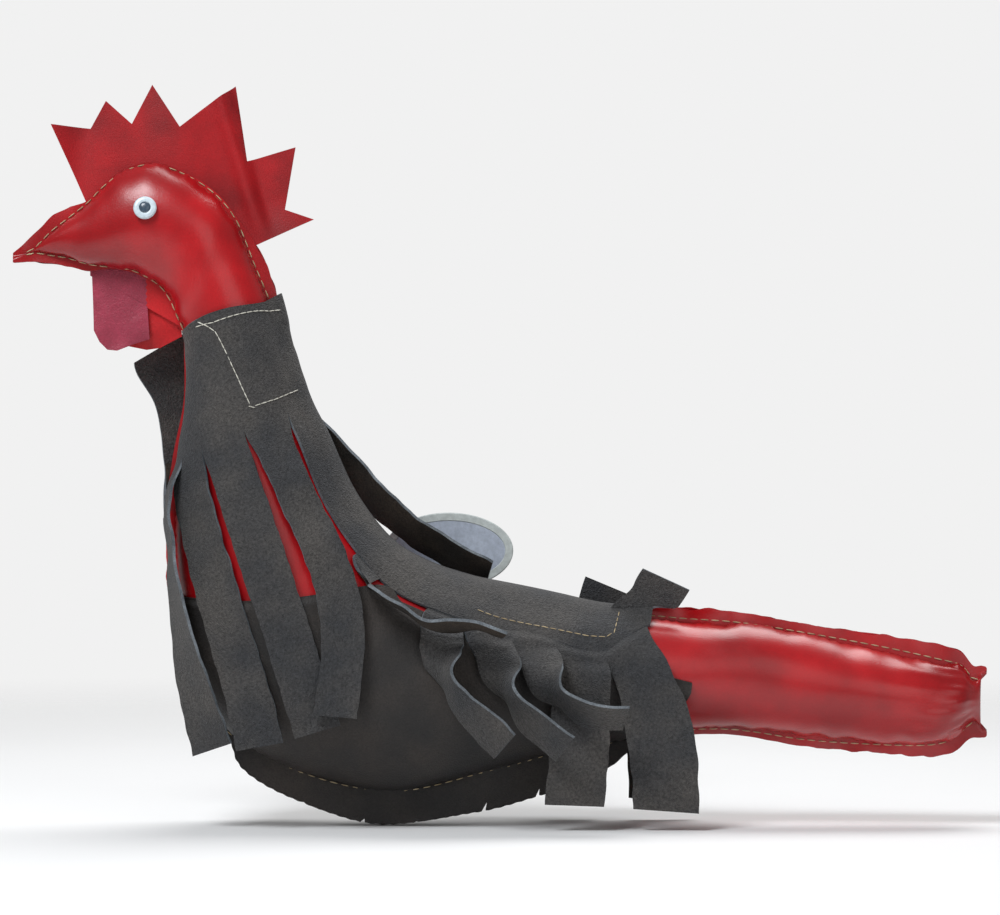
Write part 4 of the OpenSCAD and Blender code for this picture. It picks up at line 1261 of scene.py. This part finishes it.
NECK_3_R = [
    [-122.5, 31, 202, 0.85, -0.25, 0.4, 0.85], [-115.5, 35, 183, 0.9, -0.2, 0.35, 0.9],
    [-107, 39, 158, 0.95, -0.15, 0.3, 1], [-97.5, 43.5, 130, 0.95, -0.1, 0.2, 1],
    [-91, 46, 102, 0.98, 0, 0.1, 1], [-86, 47.5, 68, 1, 0, 0.1, 1],
]
SIDE_R = [
    [-103, 20.5, 207, 0.6, -0.6, 0.5, 0.9], [-94, 20, 199, 0.5, -0.75, 0.45, 1],
    [-80, 17, 185, 0.41, -0.8, 0.43, 1], [-65, 14, 168, 0.41, -0.8, 0.43, 1],
    [-49, 13, 154, 0.41, -0.8, 0.43, 1], [-31, 12.5, 141.5, 0.41, -0.8, 0.43, 1],
    [-6, 12, 128, 0.35, -0.8, 0.5, 1],
]
TOP_R = [
    [51, 23, 107, 0.95, 0, -0.2, 0.9], [53, 22, 115, 0.95, 0, -0.2, 0.9],
    [56, 22, 123, 0.95, 0, -0.2, 0.9],
]
STRIPS = {
    "left_chest_strip": (CHEST_L, 24), "left_neck_strip_1": (NECK_1_L, 24),
    "left_neck_strip_2": (NECK_2_L, 24), "left_neck_strip_3": (NECK_3_L, 22),
    "left_side_strip": (SIDE_L, 24), "left_wing_strip_1": (WING_1, 22),
    "left_wing_strip_2": (WING_2, 22), "left_wing_strip_3": (WING_3, 22),
    "left_flank_strip": (FLANK, 30), "left_tail_strip": (TAIL, 34), "left_top_strip": (TOP_L, 26),
    "right_chest_strip": (CHEST_R, 24), "right_neck_strip_1": (NECK_1_R, 24),
    "right_neck_strip_2": (NECK_2_R, 24), "right_neck_strip_3": (NECK_3_R, 24),
    "right_side_strip": (SIDE_R, 24), "right_wing_strip_1": (WING_1, 22),
    "right_wing_strip_2": (WING_2, 22), "right_wing_strip_3": (WING_3, 22),
    "right_flank_strip": (FLANK, 30), "right_tail_strip": (TAIL, 34), "right_top_strip": (TOP_R, 26),
}


# %% [markdown]
# ## Where each strip leaves the cape
# A strip only looks cut from the cape if its top edge is the cape's own edge. A
# mark is a kind and two places: an angle on the collar's lower edge, a reach on
# the flap's lower edge, a row of the strap's side, or a fold on the saddle.

# %% Marks on the cape
MARKS = {
    "left_chest_strip": ("collar", 165, 150), "left_neck_strip_1": ("collar", 150, 123),
    "left_neck_strip_2": ("collar", 123, 85), "left_neck_strip_3": ("collar", 85, 44),
    "left_side_strip": ("strap", 3.1, 4.1), "left_wing_strip_1": ("strap", 5.62, 6.57),
    "left_wing_strip_2": ("strap", 6.57, 7.53), "left_wing_strip_3": ("strap", 7.53, 8.65),
    "left_flank_strip": ("strap", 8.65, 10.15), "left_tail_strip": ("strap", 10.15, 11.8),
    "left_top_strip": ("fold", (21.95, 17), (22.58, 14)),
    "right_chest_strip": ("flap", 33, 27), "right_neck_strip_1": ("flap", 27, 8),
    "right_neck_strip_2": ("collar", -110, -89), "right_neck_strip_3": ("collar", -89, -54),
    "right_side_strip": ("collar", -54, -16), "right_wing_strip_1": ("strap", 5.62, 6.57),
    "right_wing_strip_2": ("strap", 6.57, 7.53), "right_wing_strip_3": ("strap", 7.53, 8.65),
    "right_flank_strip": ("strap", 8.65, 10.15), "right_tail_strip": ("strap", 10.15, 11.8),
    "right_top_strip": ("fold", (21.3, -40), (22.1, -40)),
}
COLLAR_END = 14.15


def mark_points(kind, start, stop, left, count, out):
    """Points on the cape where a strip leaves it, and the way it leaves."""
    t = np.linspace(0, 1, count)
    if kind == "strap":
        rows = along(STRAP, start + (stop - start) * t)
        s, a = rows[:, 0], (rows[:, 1] if left else -rows[:, 2])
        turn = 1.0 if left else -1.0
        here, there = cape_point(s, a, out), cape_point(s, a + turn, out)
    elif kind == "collar":
        a = start + (stop - start) * t
        here = cape_point(np.full(count, COLLAR_END), a, out)
        there = cape_point(np.full(count, COLLAR_END + 0.04), a, out)
    elif kind == "flap":
        reach = (start + (stop - start) * t)[:, None]
        up = section(np.array(COLLAR_END))[1]
        here = cape_point(COLLAR_END, -FLAP_FROM, out) - up * reach - np.array([0, 0.08, 0]) * reach
        there = here + np.array([0.1, 0.1, -1.0])
    else:
        s = start[0] + (stop[0] - start[0]) * t
        a = start[1] + (stop[1] - start[1]) * t
        here = cape_point(s, a, out - SUEDE_T * 0.5)
        there = here + np.array([0.25, 0, 1.0])
    away = there - here
    return here, away / np.linalg.norm(away, axis=1)[:, None]


print("marks for", len(MARKS), "strips")

# %% [markdown]
# ## One strip
# A strip starts as a band: two grids of points, one for each face, swept along
# its path. Its cut sides wander, its end is cut a little askew, and once it is
# free of the body it ripples and curls. The first rows are then drawn again as
# a smooth curve from the marks on the cape to where the strip hangs.

# %% Bands and joins
ACROSS = 15
JOIN_ROWS = 12
ROWS_A_STRETCH = 12


def band(path, width, seed):
    """Two grids of one strip's faces, on the outward side of the bird."""
    path = np.array(path, float)
    n = len(path) - 1
    k = np.linspace(0, n, n * ROWS_A_STRETCH + 1)
    row, ahead, behind = along(path, k), along(path, k + 0.04), along(path, k - 0.04)
    go = ahead[:, :3] - behind[:, :3]
    go /= np.linalg.norm(go, axis=1)[:, None]
    wide = row[:, 3:6] - go * np.sum(row[:, 3:6] * go, axis=1)[:, None]
    wide /= np.linalg.norm(wide, axis=1)[:, None]
    face = np.cross(go, wide)
    length = run_length(row[:, :3])
    v = np.linspace(-1, 1, ACROSS)
    half = width * row[:, 6] / 2
    cut = half + 0.35 * waves(length, 0 * length, 14, seed)
    rng = np.random.default_rng(seed + 500)
    skew = rng.uniform(-0.12, 0.12)
    curl = rng.uniform(-0.9, 0.9)
    free = ramp01(length, 6, 30)
    end = ramp01(length, length[-1] - 14, length[-1])
    points = row[:, None, :3] + wide[:, None] * (cut[:, None] * v)[..., None]
    points = points + go[:, None] * (end[:, None] * skew * half[:, None] * v)[..., None]
    ripple = 0.5 * waves(length[:, None], v * 8, 34, seed + 9) + curl * v**2
    points = points + face[:, None] * (free[:, None] * ripple)[..., None]
    offset = face[:, None] * SUEDE_T / 2
    return points + offset, points - offset, go, length


def join(name, face_grid, go, length, left, out, reach):
    """One face of the strip, its first rows drawn from the cape's edge to where it hangs."""
    here, away = mark_points(*MARKS[name], left, ACROSS, out)
    first = int(np.argmax(length >= reach))
    target = face_grid[first]
    span = np.linalg.norm(target - here, axis=1)[:, None]
    rows = []
    for t in np.linspace(0, 1, JOIN_ROWS, endpoint=False):
        a, b = 2 * t**3 - 3 * t**2 + 1, t**3 - 2 * t**2 + t
        c, d = 3 * t**2 - 2 * t**3, t**3 - t**2
        rows.append(a * here + b * span * away + c * target + d * span * go[first])
    return np.concatenate([np.array(rows), face_grid[first:]])


print("band grid is", ACROSS, "points across")

# %% [markdown]
# ## Keeping the strips off the body
# The drawn curve can dip into the stuffed body. Every early row is tested
# against the nearest point of the body and lifted where it comes too close.
# The strips over the belly cover have to clear its thickness too.

# %% Clearance
CLEAR_ROWS = JOIN_ROWS + 8
CLEAR_WITHIN = 0.006


def bvh_of(name):
    return BVHTree.FromObject(bpy.data.objects[name], bpy.context.evaluated_depsgraph_get())


BODY_TREES = {True: bvh_of("left_body"), False: bvh_of("right_body")}


def push_clear(grid, left, keep):
    """Lift the early rows off the body where they come too close."""
    for i in range(1, CLEAR_ROWS):
        for j in range(ACROSS):
            p = Vector(grid[i, j] * MM)
            spot, normal, _, away = BODY_TREES[left].find_nearest(p)
            if spot is None or away > CLEAR_WITHIN:
                continue
            high = (p - spot).dot(normal) / MM
            if high < keep:
                grid[i, j] += np.array(normal) * (keep - high) * ramp01(i, 0, 3)
    return grid


print("rows tested", CLEAR_ROWS - 1)

# %% Strips
TOP_REACH, LONG_REACH = 5.0, 13.0
CLEAR_OF_COVER = COVER_GAP + COVER_T + 0.3
CLEAR_OF_BODY = 0.7
for index, (name, (path, width)) in enumerate(STRIPS.items()):
    left = name.startswith("left")
    side = -1 if left else 1
    front, back, go, length = band(path, width, 200 + index * 7)
    front, back, go = to_side(front, side), to_side(back, side), to_side(go, side)
    reach = TOP_REACH if "top" in name else LONG_REACH
    outer_edge, _ = mark_points(*MARKS[name], left, ACROSS, SUEDE_T)
    inner_edge, _ = mark_points(*MARKS[name], left, ACROSS, 0.0)
    if np.sum((outer_edge - inner_edge) * (front[2] - back[2])) < 0:
        front, back = back, front
    over_cover = any(word in name for word in ("wing", "side", "flank", "tail"))
    keep = CLEAR_OF_COVER if over_cover else CLEAR_OF_BODY
    front = push_clear(join(name, front, go, length, left, SUEDE_T, reach), left, keep + SUEDE_T)
    back = push_clear(join(name, back, go, length, left, 0.0, reach), left, keep)
    under = SUEDE if "top" in name else SUEDE_BACK
    strip = shell(name + "_cut", front, back, [SUEDE, under, SUEDE_EDGE])
    top = to_side(np.array(path[0][:3], float), side) * MM
    below = to_side(np.array(path[1][:3], float), side) * MM
    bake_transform(strip)
    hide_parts(name)

# %% [markdown]
# ## The oval tag
# A blank oval card with a raised border stands behind the back. A squashed
# cylinder would have no border, so rings of one profile are stretched to an
# oval. It is shaded flat, because smooth shading bends the light on a card.

# %% Tag
TAG_MIDDLE = np.array([-27, 31.5, 141.0])
TAG_L, TAG_H, TAG_RIM = 68.0, 40.0, 4.0
TAG_TURNS = 96
TAG_PROFILE = (
    (19.6, -0.6), (TAG_RIM + 0.3, -0.6), (TAG_RIM, -0.95), (0.5, -0.95), (0, -0.5),
    (0, 0.5), (0.5, 0.95), (TAG_RIM, 0.95), (TAG_RIM + 0.3, 0.6), (19.6, 0.6),
)


def tag_ring(inset, y):
    """One oval ring, set in from the rim and y off the middle of the card."""
    t = np.linspace(0, 2 * math.pi, TAG_TURNS, endpoint=False)
    x = TAG_MIDDLE[0] + (TAG_L / 2 - inset) * np.cos(t)
    z = TAG_MIDDLE[2] + (TAG_H / 2 - inset) * np.sin(t)
    return np.stack([x, np.full(TAG_TURNS, TAG_MIDDLE[1] + y), z], 1)


tag_points = np.concatenate([tag_ring(inset, y) for inset, y in TAG_PROFILE]) * MM
tag_faces = grid_faces(len(TAG_PROFILE), TAG_TURNS, wrap=True)
border_bands = len(TAG_PROFILE) - 3
tag_ids = [0] * TAG_TURNS + [1] * TAG_TURNS * border_bands + [0] * TAG_TURNS
near_cap = tuple(range(TAG_TURNS - 1, -1, -1))
far_cap = tuple((len(TAG_PROFILE) - 1) * TAG_TURNS + j for j in range(TAG_TURNS))
tag_faces += [near_cap, far_cap]
tag_ids += [0, 0]
if signed_volume(tag_points, tag_faces) < 0:
    tag_faces = [f[::-1] for f in tag_faces]
tag = add_mesh("tag_card", tag_points, tag_faces, [TAG_FACE, TAG_BORDER], tag_ids, smooth=False)
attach(tag, "tag")
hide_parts("tag")
print("tag", len(tag.data.polygons), "faces")

# %% [markdown]
# ## Stitches
# A seam is a row of short thread stitches. Hundreds of them by hand would be
# slow and uneven, so Geometry Nodes walk a line at the stitch pitch and lay one
# small rounded stitch along it at each step. Pitch, length and thread are
# inputs of the tree, because each seam of the bird has its own.


# %% Stitch tree
def stitch_tree():
    tree = bpy.data.node_groups.new("stitch_row", "GeometryNodeTree")
    face = tree.interface
    face.new_socket("Line", in_out="INPUT", socket_type="NodeSocketGeometry")
    for name, value in (("Pitch", 0.0055), ("Stitch Length", 0.0042), ("Thread", 0.0009)):
        socket = face.new_socket(name, in_out="INPUT", socket_type="NodeSocketFloat")
        socket.default_value = value
    face.new_socket("Thread Material", in_out="INPUT", socket_type="NodeSocketMaterial")
    face.new_socket("Stitches", in_out="OUTPUT", socket_type="NodeSocketGeometry")
    enter, leave = tree.nodes.new("NodeGroupInput"), tree.nodes.new("NodeGroupOutput")
    curve = tree.nodes.new("GeometryNodeMeshToCurve")
    link(tree, enter.outputs["Line"], curve.inputs["Mesh"])
    steps = tree.nodes.new("GeometryNodeCurveToPoints")
    steps.mode = "LENGTH"
    link(tree, curve.outputs["Curve"], steps.inputs["Curve"])
    link(tree, enter.outputs["Pitch"], steps.inputs["Length"])
    ball = add_node(tree, "GeometryNodeMeshUVSphere", Segments=8, Rings=6, Radius=0.5)
    size = tree.nodes.new("ShaderNodeCombineXYZ")
    link(tree, enter.outputs["Thread"], size.inputs["X"])
    link(tree, enter.outputs["Thread"], size.inputs["Y"])
    link(tree, enter.outputs["Stitch Length"], size.inputs["Z"])
    turn = tree.nodes.new("FunctionNodeAlignRotationToVector")
    turn.axis = "Z"
    link(tree, steps.outputs["Tangent"], turn.inputs["Vector"])
    lay = tree.nodes.new("GeometryNodeInstanceOnPoints")
    link(tree, steps.outputs["Points"], lay.inputs["Points"])
    link(tree, ball.outputs["Mesh"], lay.inputs["Instance"])
    link(tree, turn.outputs["Rotation"], lay.inputs["Rotation"])
    link(tree, size.outputs["Vector"], lay.inputs["Scale"])
    real = tree.nodes.new("GeometryNodeRealizeInstances")
    link(tree, lay.outputs["Instances"], real.inputs["Geometry"])
    paint = tree.nodes.new("GeometryNodeSetMaterial")
    link(tree, real.outputs["Geometry"], paint.inputs["Geometry"])
    link(tree, enter.outputs["Thread Material"], paint.inputs["Material"])
    link(tree, paint.outputs["Geometry"], leave.inputs["Stitches"])
    return tree


STITCH_TREE = stitch_tree()
print("stitch tree", len(STITCH_TREE.nodes), "nodes")

# %% [markdown]
# ## A seam's thread as a plain mesh
# The tree runs on a thin line of points, and its result is kept as a plain
# mesh, because only plain meshes can ride on the bird.


# %% Laying stitches
def stitches(name, lines, node, pitch=5.5, length=4.4, thread=0.62, colour=None):
    points, edges = [], []
    for line in lines:
        start = len(points)
        points += [tuple(p) for p in np.asarray(line) * MM]
        edges += [(start + i, start + i + 1) for i in range(len(line) - 1)]
    mesh = bpy.data.meshes.new(name + "_line")
    mesh.from_pydata(points, edges, [])
    holder = bpy.data.objects.new(name + "_line", mesh)
    bpy.context.scene.collection.objects.link(holder)
    modifier = holder.modifiers.new("stitches", "NODES")
    modifier.node_group = STITCH_TREE
    named = {i.name: i.identifier for i in STITCH_TREE.interface.items_tree if i.in_out == "INPUT"}
    modifier[named["Pitch"]] = pitch * MM
    modifier[named["Stitch Length"]] = length * MM
    modifier[named["Thread"]] = thread * MM
    modifier[named["Thread Material"]] = colour or THREAD
    bpy.context.view_layer.update()
    made = bpy.data.meshes.new_from_object(holder.evaluated_get(bpy.context.evaluated_depsgraph_get()))
    bpy.data.objects.remove(holder)
    made.name = name
    made.polygons.foreach_set("use_smooth", np.ones(len(made.polygons), bool))
    piece = bpy.data.objects.new(name, made)
    bpy.context.scene.collection.objects.link(piece)
    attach(piece, "bird")
    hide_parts(node)
    print(name, len(made.polygons), "faces")
    return piece


# %% [markdown]
# ## The body and belly seams
# The two body hides are sewn together just outside the filling, above and
# below, and the belly cover is sewn below the belly. A seam runs at a steady
# distance from the edge of the stuffed section.


# %% Seam stitches
def edge_line(start, stop, low, out, away, side):
    """A line of stitches along the top or bottom seam, between two stations."""
    s = np.linspace(start, stop, int((stop - start) * 14) + 2)
    mid, up, reach, _, lift_top, lift_low, _ = section(s)
    if low:
        p = mid - up * (reach + away)[:, None]
        p[:, 1] = -(lift_low + PANEL_T + out)
    else:
        p = mid + up * (reach + away)[:, None]
        p[:, 1] = -(lift_top + PANEL_T + out)
    p[:, 1] *= side
    return p


COVER_FACE = COVER_GAP + COVER_T
body_lines = []
belly_lines = []
for side in (1, -1):
    body_lines.append(edge_line(0.9, 11.7, False, 0.25, 0.6, side))
    body_lines.append(edge_line(22.6, 29.0, False, 0.25, 1.2, side))
    body_lines.append(edge_line(0.9, 11.2, True, 0.25, 0.6, side))
    body_lines.append(edge_line(23.4, 28.8, True, 0.25, 1.2, side))
    belly_lines.append(edge_line(17.4, 22.4, True, COVER_FACE + 0.35, COVER_FACE + 1.2, side))
stitches("body_stitches", body_lines, "body_thread")
stitches("belly_stitches", belly_lines, "belly_thread", pitch=6.0, length=4.8)
print("body seam lines", len(body_lines), "belly seam lines", len(belly_lines))

# %% [markdown]
# ## The threads on the cape
# The collar has an open box of pale stitches, and the saddle a loop of tan
# ones. Their lines are drawn as stations and angles, and follow the same
# wrinkles as the cape, or else the suede would swallow them.

# %% Cape stitches
COLLAR_TOP = [[11.35, 124], [11.6, 104], [11.9, 58], [12.15, 20]]
COLLAR_BOX = [[11.3, 120], [11.9, 104], [13.0, 88], [13.8, 76], [13.85, 52], [13.85, 26]]
SADDLE = [[19.8, 40], [20.9, 46], [21.7, 52], [22.0, 52], [22.1, 46], [22.1, 24]]


def cape_line(marks, mirror=1):
    """A line of stitches over the cape, through marks of station and angle."""
    marks = np.array(marks, float)
    k = np.linspace(0, len(marks) - 1, (len(marks) - 1) * 24 + 1)
    i = np.minimum(np.floor(k).astype(int), len(marks) - 2)
    f = (k - i)[:, None]
    m = marks[i] + (marks[i + 1] - marks[i]) * f
    wrinkle = np.where(m[:, 0] < 14.1, collar_wrinkle(m[:, 0], m[:, 1]), strap_wrinkle(m[:, 0], m[:, 1]))
    p = cape_point(m[:, 0], m[:, 1], SUEDE_T + 0.2 + wrinkle)
    p[:, 1] *= mirror
    return p


stitches("collar_stitches", [cape_line(COLLAR_TOP), cape_line(COLLAR_BOX)],
         "collar_thread", pitch=3.4, length=3.6, thread=0.6, colour=PALE_THREAD)
stitches("saddle_stitches", [cape_line(SADDLE), cape_line(SADDLE, -1)], "saddle_thread",
         pitch=4.2, length=3.6, thread=0.5)
print("cape threads: a collar box and a loop on each side of the saddle")
